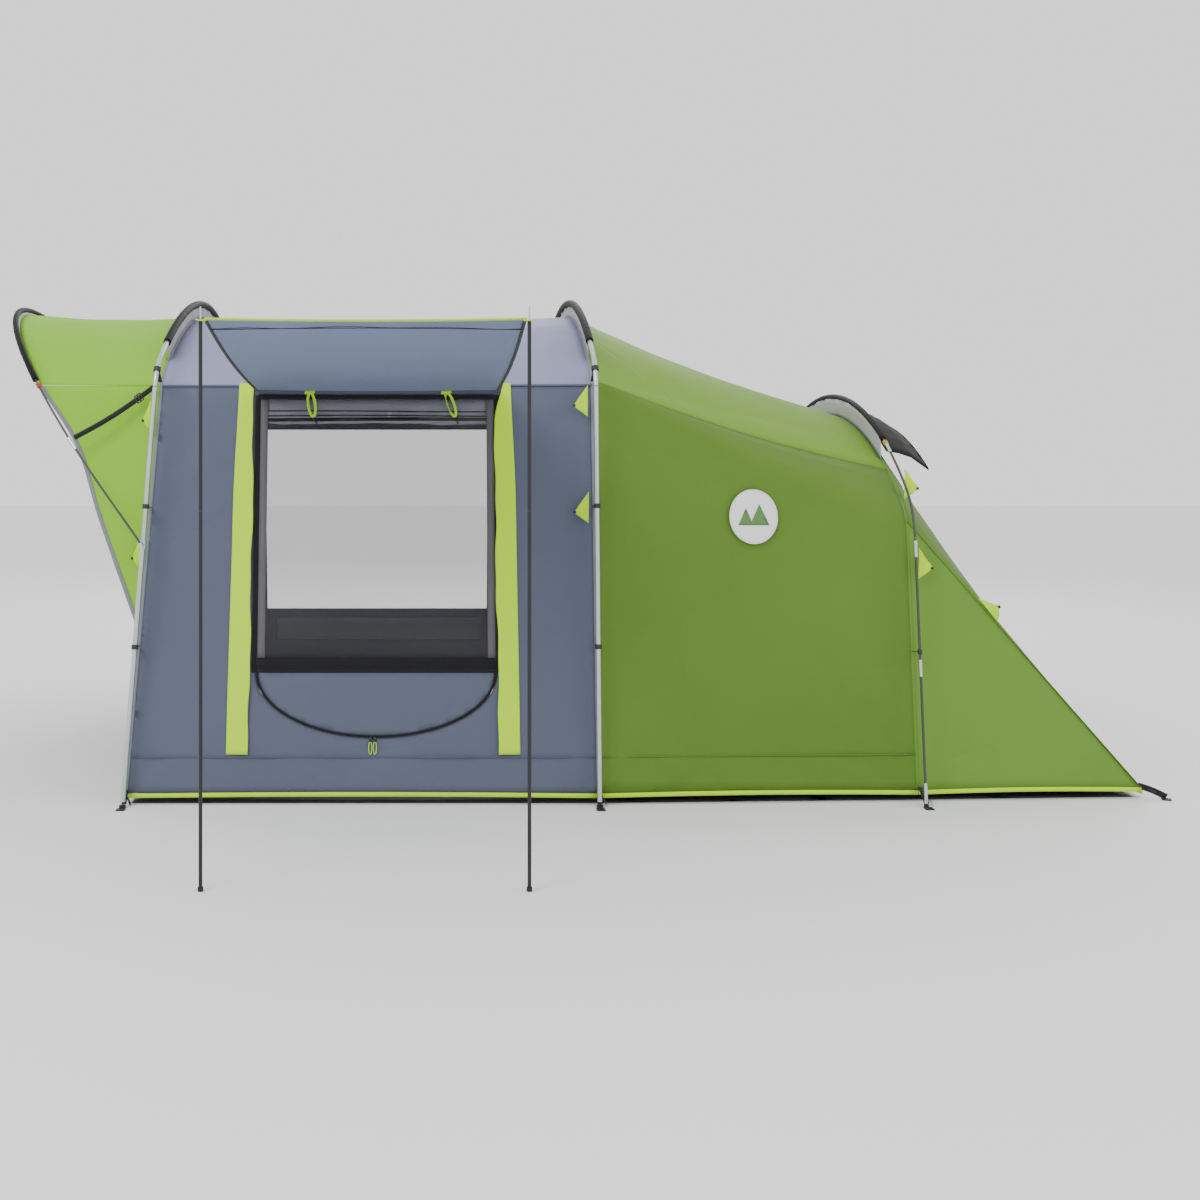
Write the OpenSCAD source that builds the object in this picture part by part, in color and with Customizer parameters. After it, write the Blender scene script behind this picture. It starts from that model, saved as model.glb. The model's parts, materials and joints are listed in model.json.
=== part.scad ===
// Family tunnel tent: two steel arches, a low fibreglass rear arch and a front canopy hoop,
// with cloth panels hung inside them and a side door raised as an awning on two poles.
// +X runs to the rear, -Y is the side with the awning, +Z is up. Millimetres.
// The origin is the middle of the groundsheet's underside.

/* [Steel arches] */
// Half the distance between the feet
steel_half_w = 1300; // [1150:10:1450]
// Height of the pole at the ridge
steel_top = 2051; // [1900:1:2200]
// Outside radius of the steel tube
steel_r = 9.5; // [7:0.5:13]
// Foot of the front arch along X
front_x = -2035; // [-2300:5:-1800]
// Lean of the front arch towards the rear, degrees
front_tilt = 3.6; // [0:0.1:8]
// Place of the middle arch along X
mid_x = -214; // [-400:1:0]

/* [Rear arch and hoop] */
// Place of the rear arch along X
rear_x = 1035; // [900:5:1200]
// Half the distance between the rear arch's feet
rear_half_w = 1290; // [1100:10:1400]
// Height of the rear arch
rear_top = 1620; // [1400:5:1800]
// Radius of the fibreglass rod
rod_r = 5; // [4:0.5:7]
// Height of the canopy hoop's pivots
hoop_z = 1000; // [800:10:1200]
// Lean of the canopy hoop towards the front, degrees
hoop_lean = 36.7; // [25:0.1:45]
// Reach of the hoop from its pivots
hoop_reach = 1275; // [1100:5:1400]

/* [Cloth] */
// Thickness of a cloth panel as a solid
cloth = 3; // [2:0.5:5]
// Gap between two neighbouring panels
seam = 1.4; // [1:0.1:3]
// Half width of the walls at the hem
hem_half_w = 1255; // [1100:5:1350]
// Height of the eave
eave_z = 1650; // [1500:10:1750]
// Height of the cloth at the ridge
ridge_z = 1990; // [1850:5:2100]
// Rear edge of the tent on the ground
tail_x = 1925; // [1700:5:2100]
// Half width of the rear edge
tail_half_w = 1150; // [900:10:1250]

/* [Side door and awning] */
// Front edge of the side door
door_x0 = -1540; // [-1700:1:-1300]
// Rear edge of the side door
door_x1 = -600; // [-800:1:-500]
// Top of the side door
door_top = 1588; // [1400:1:1640]
// Length of the raised door
awning_len = 1270; // [1000:5:1400]
// Rise of the awning towards its outer edge, degrees
awning_rise = 7.5; // [0:0.5:15]
// Height of an awning pole
awning_pole_h = 1761; // [1600:1:1900]

/* [Hidden] */
$fn = 48;
wall_lean = atan((hem_half_w - 1050) / (eave_z - 20));
wall_y0 = hem_half_w + 20 * tan(wall_lean);
door_mid = (door_x0 + door_x1) / 2;
door_w = door_x1 - door_x0;
sill_z = 500;
door_low = 251;
hem_z = 45;
hoop_x = front_x + hoop_z * tan(front_tilt);
hinge_z = door_top + 14;
hinge_y = -(wall_y0 - hinge_z * tan(wall_lean)) - 17;

function unit(v) = v / norm(v);
function lerp(a, b, t) = a + (b - a) * t;

// An arch is a straight leg, an elbow and a roof arc, each tangent to the next.
// It starts at [w, z0], leans through [lw, lz], and rises to h with roof radius r and elbow f.
function arch(w, z0, lw, lz, h, r, f) =
    let (p = [w, z0],
         d = unit([lw - w, lz - z0]),
         n = [-d[1], d[0]],
         c = [0, h - r],
         q = p + f * n - c,
         t = -(q * d) + sqrt(pow(q * d, 2) - q * q + pow(r - f, 2)),
         k = p + t * d + f * n)
    [p, d, t, k, f, atan2(-n[1], -n[0]), atan2(k[1] - c[1], k[0] - c[0]), c, r];

// A place on an arch: 0 to 1 is the far leg, 1 to 2 its elbow, 2 to 4 the roof, up to 6 the near foot.
function on_arch(a, q) =
    q > 3 ? let (m = on_arch(a, 6 - q)) [-m[0], m[1]] :
    q <= 1 ? a[0] + a[1] * a[2] * q :
    q <= 2 ? a[3] + a[4] * dir(lerp(a[5], a[6], q - 1)) :
    a[7] + a[8] * dir(lerp(a[6], 90, q - 2));
function dir(t) = [cos(t), sin(t)];
function leg_q(a, z) = (z - a[0][1]) / (a[1][1] * a[2]);

steel = arch(steel_half_w, 0, steel_half_w - 130, 1709, steel_top, 2080, 150);
rear_rod = arch(rear_half_w, 0, rear_half_w - 120, 1000, rear_top, 1600, 300);
hoop = arch(1250, 0, 1180, 480, hoop_reach, 1235, 420);
hoop_cloth = arch(1222, 0, 1152, 480, hoop_reach - 27, 1207, 395);
body_cloth = arch(hem_half_w, 20, 1050, eave_z, ridge_z, 1791, 60);
rear_cloth = arch(1200, 20, 1085, 1000, rear_top - 90, 1560, 220);
hood_cloth = arch(1225, 20, 1112, 1000, rear_top - 50, 1587, 240);
inner_cloth = arch(hem_half_w - 55, 20, 994, eave_z, ridge_z - 55, 1736, 60);
inner_rear = arch(1145, 20, 1030, 1000, rear_top - 145, 1505, 220);

function in_front(p, dx) =
    [front_x + dx + p[1] * sin(front_tilt), p[0], p[1] * cos(front_tilt)];
function in_plane(p, x) = [x, p[0], p[1]];
function in_hoop(p) = [hoop_x - p[1] * sin(hoop_lean), p[0], hoop_z + p[1] * cos(hoop_lean)];

// Maps drawing coordinates: x to +Y, y to +Z and z to +X.
module arch_plane() { rotate([90, 0, 90]) children(); }
module front_plane(dx = 0) { translate([front_x + dx, 0, 0]) rotate([0, front_tilt, 0]) children(); }
module hoop_plane() { translate([hoop_x, 0, hoop_z]) rotate([0, -hoop_lean, 0]) children(); }
module both_sides() {
    children();
    mirror([0, 1, 0]) children();
}

// The near wall's plane: drawing x is X, drawing y climbs the wall, drawing z points outwards.
module wall_plane() {
    translate([0, -wall_y0, 0])
    rotate([90 - wall_lean, 0, 0])
    children();
}
function up_wall(z) = z / cos(wall_lean);
function front_edge(z) = front_x + z * tan(front_tilt);

// A straight rod or tube from place q0 to q1 of a leg, drawn in the arch's plane.
module leg_rod(a, q0, q1, r, bore = 0) {
    p = on_arch(a, q0);
    e = on_arch(a, q1);
    translate([0, p[0], p[1]])
    rotate([atan2(p[0] - e[0], e[1] - p[1]), 0, 0])
    difference() {
        cylinder(r = r, h = norm(e - p));
        if (bore > 0) translate([0, 0, -1]) cylinder(r = bore, h = norm(e - p) + 2);
    }
}

// A bent rod about centre c with radius ra, between two angles.
module bend_rod(c, ra, a0, a1, r, bore = 0) {
    arch_plane()
    translate([c[0], c[1], 0])
    rotate([0, 0, a0])
    rotate_extrude(angle = a1 - a0, $fn = 240)
    translate([ra, 0])
    difference() {
        circle(r = r, $fn = 32);
        if (bore > 0) circle(r = bore, $fn = 32);
    }
}

// A ring or sleeve fitted round an arch at place q.
module on_rod(a, q) {
    p = on_arch(a, q);
    e = on_arch(a, q + 0.01);
    translate([0, p[0], p[1]])
    rotate([atan2(p[0] - e[0], e[1] - p[1]), 0, 0])
    children();
}

module ring(r, bore, h) {
    difference() {
        cylinder(r = r, h = h);
        translate([0, 0, -1]) cylinder(r = bore, h = h + 2);
    }
}

// One cloth strip between the edges a and b, each a list of points. Its outside faces (b - a) x along.
module strip(a, b, th) {
    m = len(a) - 1;
    k = seam / 2;
    a1 = [for (j = [0:m]) a[j] + k * unit(b[j] - a[j])];
    b1 = [for (j = [0:m]) b[j] - k * unit(b[j] - a[j])];
    nrm = [for (j = [0:m]) let (t = a[min(j + 1, m)] - a[max(j - 1, 0)]
                              + b[min(j + 1, m)] - b[max(j - 1, 0)])
           unit(cross(b1[j] - a1[j], t))];
    n = m + 1;
    inset = [for (j = [0:m]) 0.55 * th * unit(b1[j] - a1[j])];
    pts = concat(a1, b1, [for (j = [0:m]) a1[j] - th * nrm[j] + inset[j]],
                 [for (j = [0:m]) b1[j] - th * nrm[j] - inset[j]]);
    body = [for (j = [0:m - 1])
        each [[j, n + j + 1, n + j], [j, j + 1, n + j + 1],
              [2 * n + j, 3 * n + j, 3 * n + j + 1], [2 * n + j, 3 * n + j + 1, 2 * n + j + 1],
              [j, 2 * n + j + 1, j + 1], [j, 2 * n + j, 2 * n + j + 1],
              [n + j + 1, 3 * n + j, n + j], [n + j + 1, 3 * n + j + 1, 3 * n + j]]];
    ends = [[n, 2 * n, 0], [n, 3 * n, 2 * n],
            [m, 3 * n + m, n + m], [m, 2 * n + m, 3 * n + m]];
    polyhedron(points = pts, faces = concat(body, ends));
}

module strips(rows, th = cloth) {
    for (i = [0:len(rows) - 2]) strip(rows[i], rows[i + 1], th);
}

roof_q = [1, 2, 2.25, 2.5, 2.75, 3, 3.25, 3.5, 3.75, 4, 5];
seam_q = 1.4;

// Rows of points from one arch to the next, sagging by s between them.
function row(p, e, m, s) = [for (j = [0:m]) lerp(p, e, j / m) - [0, 0, s * sin(180 * j / m)]];

// Outline of an arch drawn as a flat panel with its hem at z.
function outline(a, z) = [for (i = [0:60]) on_arch(a, lerp(leg_q(a, z), 6 - leg_q(a, z), i / 60))];

module door_shape(inset, low = door_low) {
    a = door_w / 2 - inset;
    b = up_wall(sill_z) - up_wall(low) - inset;
    polygon(concat([for (i = [0:40]) [door_mid - a * cos(4.5 * i), up_wall(sill_z) - b * sin(4.5 * i)]],
                   [[door_mid + a, up_wall(door_top) - inset], [door_mid - a, up_wall(door_top) - inset]]));
}

module band(z0, z1) {
    translate([door_x0 - 50, up_wall(z0)]) square([door_w + 100, up_wall(z1) - up_wall(z0)]);
}

module plate(h, z = 0) { translate([0, 0, z]) linear_extrude(h) children(); }

// ---- steel arches ----
module steel_leg() { leg_rod(steel, 0.0145, 0.999, steel_r, steel_r - 1.2); }

module steel_roof() {
    bend_rod(steel[3], steel[4], steel[5] + 0.3, steel[6] - 0.3, steel_r, steel_r - 1.2);
    for (i = [0:3])
        bend_rod(steel[7], steel[8], lerp(steel[6], 90, i / 4) + 0.03, lerp(steel[6], 90, (i + 1) / 4) - 0.03,
                 steel_r, steel_r - 1.2);
}

module steel_sleeve() { bend_rod(steel[7], steel[8], 61.8, 118.2, steel_r + 4, steel_r + 1.5); }

module steel_fin() {
    arch_plane()
    plate(2, -1)
    intersection() {
        difference() {
            translate(steel[7]) circle(r = steel[8] - steel_r - 5, $fn = 240);
            translate(body_cloth[7]) circle(r = body_cloth[8] + 4, $fn = 240);
        }
        translate([-930, 1700]) square([1860, 400]);
    }
}

module front_arch_leg_near() { color("silver") front_plane() mirror([0, 1, 0]) steel_leg(); }
module front_arch_leg_far() { color("silver") front_plane() steel_leg(); }
module front_arch_roof_pole() { color("silver") front_plane() both_sides() steel_roof(); }
module front_arch_sleeve() { color("dimgray") front_plane() steel_sleeve(); }
module front_arch_fin() { color("gray") front_plane() steel_fin(); }
module mid_arch_leg_near() { color("silver") translate([mid_x, 0, 0]) mirror([0, 1, 0]) steel_leg(); }
module mid_arch_leg_far() { color("silver") translate([mid_x, 0, 0]) steel_leg(); }
module mid_arch_roof_pole() { color("silver") translate([mid_x, 0, 0]) both_sides() steel_roof(); }
module mid_arch_sleeve() { color("dimgray") translate([mid_x, 0, 0]) steel_sleeve(); }
module mid_arch_fin() { color("gray") translate([mid_x, 0, 0]) steel_fin(); }

// ---- rear arch ----
// Angle of the joint between the rods of the rear roof.
rear_join = 57.8;

module rear_arch_rods() {
    color("darkslategray")
    translate([rear_x, 0, 0])
    both_sides() {
        leg_rod(rear_rod, 0.012, 0.508, rod_r);
        leg_rod(rear_rod, 0.51, 0.957, rod_r);
        leg_rod(rear_rod, 0.959, 0.998, rod_r);
        for (i = [0:1])
            bend_rod(rear_rod[3], rear_rod[4], lerp(rear_rod[5], rear_rod[6], i / 2) + 0.2,
                     lerp(rear_rod[5], rear_rod[6], (i + 1) / 2) - 0.2, rod_r);
        bend_rod(rear_rod[7], rear_rod[8], rear_rod[6] + 0.03, rear_join - 0.03, rod_r);
        bend_rod(rear_rod[7], rear_rod[8], rear_join + 0.03, 89.97, rod_r);
    }
}

module rear_arch_ferrules() {
    color("silver")
    translate([rear_x, 0, 0])
    both_sides() {
        for (z = [490, 948])
            on_rod(rear_rod, leg_q(rear_rod, z)) ring(rod_r + 1.6, rod_r + 0.3, 64);
        on_rod(rear_rod, leg_q(rear_rod, 14)) ring(rod_r + 1.6, rod_r + 0.3, 76);
        bend_rod(rear_rod[7], rear_rod[8], rear_join - 1.15, rear_join + 1.15, rod_r + 1.6, rod_r + 0.3);
    }
}

module rear_arch_sleeve() {
    color("dimgray")
    translate([rear_x, 0, 0])
    bend_rod(rear_rod[7], rear_rod[8], 60.5, 119.5, rod_r + 3.5, rod_r + 1.5);
}

module rear_arch_fin() {
    color("gray")
    translate([rear_x - 22, 0, 0])
    arch_plane()
    plate(2)
    intersection() {
        difference() {
            translate(rear_rod[7]) circle(r = rear_rod[8] - rod_r - 5, $fn = 240);
            translate(rear_cloth[7]) circle(r = rear_cloth[8] + 11, $fn = 240);
        }
        translate([-780, 1300]) square([1560, 400]);
    }
}

// ---- feet, clips and pegging points ----
foot_places = [[front_x, steel_half_w], [mid_x, steel_half_w], [rear_x, rear_half_w]];

module arch_feet() {
    color("black")
    both_sides()
    for (f = foot_places) {
        translate([f[0], f[1], 0]) cylinder(r = f[0] == rear_x ? 9 : 13, h = 11);
    }
}

module clip(a, q, r, reach) {
    on_rod(a, q) {
        ring(r + 3.5, r + 0.4, 18);
        translate([-8, -reach, 8]) cube([16, reach - r - 2, 2.5]);
    }
}

module steel_clips() {
    for (z = [600, 1140])
        clip(steel, leg_q(steel, z), steel_r, 42 + 0.0497 * z - 6);
    clip(steel, 1.45, steel_r + 1.2, 94);
}

module pole_clips() {
    color("black")
    both_sides() {
        front_plane() steel_clips();
        translate([mid_x, 0, 0]) steel_clips();
        translate([rear_x, 0, 0])
        clip(rear_rod, leg_q(rear_rod, 575), rod_r, 72);
    }
}

// Flat tabs with an eyelet for a ground peg.
tab_places = [[front_x, steel_half_w + 22, 0], [mid_x, steel_half_w + 22, 0],
              [rear_x, rear_half_w + 18, 0], [tail_x + 78, tail_half_w + 20, 0]];

module peg_tab() {
    difference() {
        translate([-16, -6, 0]) cube([32, 34, 4]);
        translate([0, 12, -1]) cylinder(r = 6, h = 6);
    }
}

module peg_tabs() {
    color("black")
    both_sides()
    for (t = tab_places)
        translate(t) rotate([0, 0, t[0] > tail_x ? -70 : 0]) peg_tab();
}

// Webbing from the hem to each foot, and from the rear corners to their pegs.
module foot_straps() {
    color("black")
    both_sides() {
        for (f = foot_places)
            translate([f[0] - 10, (f[0] == rear_x ? 1206 : hem_half_w) + 6, 16])
            rotate([-12, 0, 0]) cube([20, f[0] == rear_x ? 66 : 24, 2.5]);
        translate([tail_x + 8, tail_half_w + 4, 14]) rotate([0, 8, 12]) cube([58, 20, 2.5]);
    }
}

// ---- canopy hoop ----
module hoop_hooks() {
    color("silver")
    both_sides() {
        front_plane() on_rod(steel, leg_q(steel, hoop_z / cos(front_tilt)) - 0.009)
            ring(steel_r + 4, steel_r + 0.4, 30);
        translate([hoop_x, 1250 + 16, hoop_z]) rotate([90, 0, 0]) cylinder(r = 4, h = 31);
        translate([hoop_x, 1250 + 17, hoop_z]) rotate([90, 0, 0]) cylinder(r = 7, h = 3);
    }
}

// Angle of the joint between a lower rod and the hoop's roof.
hoop_join = 21.2;

module hoop_rods() {
    color("darkslategray")
    hoop_plane()
    both_sides() {
        leg_rod(hoop, 10.5 / hoop[2], 0.998, 4.5);
        for (i = [0:1])
            bend_rod(hoop[3], hoop[4], lerp(hoop[5], hoop[6], i / 2) + 0.1,
                     lerp(hoop[5], hoop[6], (i + 1) / 2) - 0.1, 4.5);
        bend_rod(hoop[7], hoop[8], hoop[6] + 0.03, hoop_join - 0.03, 4.5);
        bend_rod(hoop[7], hoop[8], hoop_join + 0.03, 55, 4.5);
        bend_rod(hoop[7], hoop[8], 55.06, 89.97, 4.5);
    }
}

module hoop_ferrules() {
    color("silver") hoop_plane() both_sides() bend_rod(hoop[7], hoop[8], hoop_join - 1.4, hoop_join + 1.4, 6.3, 4.8);
}

module hoop_sleeve() {
    color("dimgray")
    hoop_plane()
    bend_rod(hoop[7], hoop[8], 38.6, 141.4, 9, 6);
}

module hoop_feet() {
    color("silver")
    both_sides()
    translate([hoop_x, 1258, hoop_z]) rotate([90, 0, 0]) ring(9.5, 4.1, 14);
}

// ---- canopy cloth ----
hoop_eave_q = 2.32;
function hoop_q(q) = q > 3 ? 6 - hoop_q(6 - q) :
    q <= 2 ? lerp(hoop_eave_q, 2.42, q - 1) : lerp(2.42, 3, q - 2);

module canopy_roof() {
    color("yellowgreen")
    strips([for (q = roof_q) row(in_hoop(on_arch(hoop_cloth, hoop_q(q))),
                                 in_front(on_arch(body_cloth, q), -4), 5, q > 1 && q < 5 ? 14 : 0)]);
}

hoop_eave = in_hoop(on_arch(hoop_cloth, hoop_eave_q));
wing_edge = [[front_x + 34, 1172, 680], [-2158, 1118, 1091], [-2268, 1042, 1386], hoop_eave - [0, 0, 3]];
function wing_front(v) = let (k = min(floor(v * 3), 2)) lerp(wing_edge[k], wing_edge[k + 1], v * 3 - k);
function wing_back(v) = in_front(on_arch(body_cloth, lerp(leg_q(body_cloth, 684), 0.999, v)), -4);

module wing_cloth() {
    strips([for (v = [0.03, 0.15, 0.3, 0.45, 0.6, 0.75, 0.88, 0.998]) row(wing_front(v), wing_back(v), 4, 0)]);
}
module canopy_wing_near() { color("yellowgreen") mirror([0, 1, 0]) wing_cloth(); }
module canopy_wing_far() { color("yellowgreen") wing_cloth(); }

// Webbing that holds the hoop forward. It lies inside the hoop's sweep.
module canopy_straps() {
    color("black")
    both_sides()
    strip([[-2262, 1124, 1404], [-1948, 1084, 1612]], [[-2274, 1124, 1424], [-1960, 1084, 1632]], 2);
}

// ---- living area ----
module front_door_shape(inset) {
    translate([-700 + inset, 210 + inset]) square([1400 - 2 * inset, 1290 - inset]);
    translate([-440, 210 + inset]) square([880, 1550 - 2 * inset]);
    for (s = [-1, 1])
        translate([s * 440, 1500]) circle(r = 260 - inset, $fn = 96);
}

module front_wall() {
    color("slategray")
    front_plane()
    arch_plane()
    plate(cloth)
    difference() {
        polygon(outline(body_cloth, hem_z));
        front_door_shape(0);
    }
}

module front_door() { color("lightslategray") front_plane() arch_plane() plate(cloth) front_door_shape(5); }

wall_top = on_arch(body_cloth, 1)[1];

module living_wall_shape(x1) {
    low_top = wall_top * cos(front_tilt);
    polygon([[front_edge(hem_z) + 6, up_wall(hem_z)], [x1, up_wall(hem_z)],
             [x1, up_wall(wall_top) - 1.5], [front_edge(low_top) + 6, up_wall(low_top) - 1.5]]);
}

module living_wall_near() {
    color("slategray")
    wall_plane()
    plate(cloth, -cloth)
    difference() {
        living_wall_shape(mid_x - 2);
        door_shape(0);
    }
}

module window_shape(inset) {
    translate([-1750 + inset, up_wall(489) + inset])
    square([1222 - 2 * inset, up_wall(1483) - up_wall(489) - 2 * inset]);
}

module living_wall_far() {
    color("slategray")
    mirror([0, 1, 0])
    wall_plane()
    plate(cloth, -cloth)
    difference() {
        living_wall_shape(mid_x - 2);
        window_shape(0);
    }
}

module far_window() { color([0.9, 0.9, 0.92, 0.6]) mirror([0, 1, 0]) wall_plane() plate(2, -2.5) window_shape(1.5); }

module living_roof() {
    color("lightsteelblue")
    strips([for (q = roof_q) row(in_front(on_arch(body_cloth, q), 6), in_plane(on_arch(body_cloth, q), mid_x - 2),
                                 4, q > 1 && q < 5 ? 12 : 0)]);
}

// ---- bedroom ----
// The wall meets the roof at place 1.5 of the middle arch, which is rear_eave_q on the rear arch.
rear_eave_q = 2.19;
function rear_q(q) = q > 3 ? 6 - rear_q(6 - q) :
    q <= 1.5 ? lerp(1, rear_eave_q, 2 * (q - 1)) : lerp(rear_eave_q, 3, (q - 1.5) / 1.5);
function bed_sag(q) = 20 * max(0, min(1, 2 * (min(q, 6 - q) - 1)));
function bed_row(q, z) =
    row(in_plane(on_arch(body_cloth, q < 1 ? lerp(leg_q(body_cloth, z), 1, q) : q), mid_x + 2),
        in_plane(on_arch(rear_cloth, q < 1 ? lerp(leg_q(rear_cloth, z), 1, q) : rear_q(q)), rear_x - 2),
        6, bed_sag(q));

module bed_wall() { strips([for (q = [0, 0.25, 0.5, 0.75, 1, 1.13, 1.26, 1.38, 1.5]) bed_row(q, hem_z)]); }
module bedroom_wall_near() { color("olivedrab") mirror([0, 1, 0]) bed_wall(); }
module bedroom_wall_far() { color("olivedrab") bed_wall(); }
module bedroom_roof() {
    color("yellowgreen")
    strips([for (q = [1.5, 2, 2.25, 2.5, 2.75, 3, 3.25, 3.5, 3.75, 4, 4.5]) bed_row(q, hem_z)]);
}

// The tail is two side triangles and a sloping rear wall between the rear arch and the ground.
function tail_seam(a, tx, tw, v) = lerp([tx, tw, hem_z], in_plane(on_arch(a, seam_q), rear_x + 3), v);
module tail_side(a, tx, tw) {
    strips([for (v = [0, 0.15, 0.3, 0.45, 0.6, 0.75, 0.88, 0.96])
        let (p = in_plane(on_arch(a, lerp(leg_q(a, hem_z), seam_q, v)), rear_x + 3), e = tail_seam(a, tx, tw, v))
        row(p, e + 5 * unit(p - e), 2, 0)]);
}
module tail_wall(a, tx, tw) {
    ts = on_arch(a, seam_q)[0];
    strips([for (q = [seam_q + 0.004, 1.8, 2.2, 2.6, 3, 3.4, 3.8, 4.2, 5.996 - seam_q])
        row(in_plane(on_arch(a, q), rear_x + 3), [tx, tw * on_arch(a, q)[0] / ts, hem_z], 3, 0)]);
}

module rear_side_near() { color("yellowgreen") mirror([0, 1, 0]) tail_side(rear_cloth, tail_x, tail_half_w); }
module rear_side_far() { color("yellowgreen") tail_side(rear_cloth, tail_x, tail_half_w); }
module rear_wall() { color("olivedrab") tail_wall(rear_cloth, tail_x, tail_half_w); }

module vent_hood() {
    color("dimgray")
    strips([for (q = [2.26, 2.45, 2.7, 3, 3.3, 3.55, 3.74])
        let (p = on_arch(hood_cloth, q))
        [in_plane(p, rear_x + 12), in_plane(p - [0, 18], rear_x + 105), in_plane(p - [0, 74], rear_x + 200)]]);
}

module vent_mesh() {
    color("black")
    strips([for (q = [2.45, 2.7, 3, 3.3, 3.55])
        let (p = on_arch(rear_cloth, q), t = [tail_x, tail_half_w * p[0] / on_arch(rear_cloth, seam_q)[0], hem_z],
             o = [7, 0, 6])
        [lerp(in_plane(p, rear_x + 3), t, 0.03) + o, lerp(in_plane(p, rear_x + 3), t, 0.16) + o]], 2);
}

// Webbing sewn along the hem.
module hem_webbing() {
    color("lime")
    both_sides() {
        mirror([0, 1, 0])
        wall_plane()
        plate(cloth, -cloth)
        polygon([[front_edge(16) + 6, up_wall(16)], [mid_x - 2, up_wall(16)],
                 [mid_x - 2, up_wall(hem_z) - 1.2], [front_edge(hem_z) + 6, up_wall(hem_z) - 1.2]]);
        strips([[for (j = [0:1]) let (r = bed_row(0, 20)) r[j * 6]],
                [for (j = [0:1]) let (r = bed_row(0, hem_z - 1)) r[j * 6]]]);
        strip([[rear_x + 3, 1200, 20], [tail_x + 3, tail_half_w, 20]],
              [[rear_x + 3, 1197, 44], [tail_x + 1, tail_half_w, 44]], cloth);
    }
    strip([[tail_x + 6, tail_half_w - 6, 44], [tail_x + 6, -tail_half_w + 6, 44]],
          [[tail_x + 9, tail_half_w - 6, 19], [tail_x + 9, -tail_half_w + 6, 19]], cloth);
}

module groundsheet() {
    color("dimgray")
    plate(4)
    polygon([[front_x + 20, -1235], [mid_x, -1235], [rear_x, -1180], [tail_x - 14, -tail_half_w + 18],
             [tail_x - 14, tail_half_w - 18], [rear_x, 1180], [mid_x, 1235], [front_x + 20, 1235]]);
}

// ---- inner tent ----
module inner_door_shape(inset) {
    translate([-450 + inset, 220 + inset]) square([1150 - 2 * inset, 1100 - inset]);
    intersection() {
        translate([-450 + inset, 1300]) square([1150 - 2 * inset, 500]);
        translate([125, 1300]) circle(r = 575 - inset, $fn = 120);
        translate([-450, 1200]) square([1150, 480 - inset]);
    }
}

module inner_front() {
    color("gray")
    translate([mid_x + 46, 0, 0])
    arch_plane()
    plate(cloth)
    difference() {
        polygon(outline(inner_cloth, 26));
        inner_door_shape(0);
    }
}

module inner_door() { color("lightgray") translate([mid_x + 46, 0, 0]) arch_plane() plate(cloth) inner_door_shape(5); }

module inner_canopy() {
    color("whitesmoke")
    strips([for (q = [0, 0.5, 0.999, 1.5, 2, 2.33, 2.67, 3, 3.33, 3.67, 4, 4.5, 5.001, 5.5, 6])
        let (f = function (a, q) on_arch(a, q < 1 ? lerp(leg_q(a, 26), 1, q)
                                         : q > 5 ? 6 - lerp(leg_q(a, 26), 1, 6 - q) : q))
        row(in_plane(f(inner_cloth, q), mid_x + 51), in_plane(f(inner_rear, q), rear_x - 2),
            4, q > 1.2 && q < 4.8 ? 20 : 0)]);
}

module inner_tail() {
    color("whitesmoke") {
        both_sides() tail_side(inner_rear, tail_x - 110, tail_half_w - 70);
        tail_wall(inner_rear, tail_x - 110, tail_half_w - 70);
    }
}

module inner_floor() {
    color("darkgray")
    plate(3, 6)
    polygon([[mid_x + 46, -1165], [rear_x, -1110], [tail_x - 130, -tail_half_w + 90],
             [tail_x - 130, tail_half_w - 90], [rear_x, 1110], [mid_x + 46, 1165]]);
}

// ---- side door ----
module mesh_door_trim() {
    color("black")
    wall_plane() {
        plate(cloth, -cloth) difference() {
            door_shape(4);
            door_shape(20);
        }
        plate(cloth, -cloth) intersection() {
            door_shape(20.6);
            band(500, 553);
        }
    }
}

module mesh_door_window() {
    color("gray")
    wall_plane()
    plate(2, -2.5)
    intersection() {
        door_shape(20.6);
        band(554, 1600);
    }
}

module mesh_door_panel() {
    color("slategray")
    wall_plane()
    plate(2, -2.5)
    intersection() {
        door_shape(20.6);
        band(100, 499);
    }
}

// The inner curtain, rolled up and tied under the top of the door.
module mesh_door_curtain() {
    color("dimgray")
    wall_plane()
    translate([door_x0 + 26, up_wall(door_top) - 60, -26])
    rotate([0, 90, 0]) cylinder(r = 20, h = door_w - 52);
}

// ---- awning ----
module awning_plane() {
    translate([0, hinge_y, hinge_z]) rotate([-awning_rise, 0, 0]) rotate([0, 0, 180]) children();
}

module awning_shape(inset) {
    w0 = door_w / 2 + 14 - inset;
    w1 = 499 - inset;
    polygon([[-door_mid - w0, inset + 2], [-door_mid - w1, awning_len - inset],
             [-door_mid + w1, awning_len - inset], [-door_mid + w0, inset + 2]]);
}

module awning_panel() { color("lightsteelblue") awning_plane() plate(cloth) awning_shape(14); }

module awning_binding() {
    color("lime")
    awning_plane()
    plate(cloth + 1, -0.5)
    difference() {
        awning_shape(0);
        awning_shape(13.3);
        translate([-3000, -20]) square([6000, 37.5]);
    }
}

pole_y = hinge_y - (awning_len - 8) * cos(awning_rise);
pole_x = [door_mid - 508, door_mid + 508];

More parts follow.
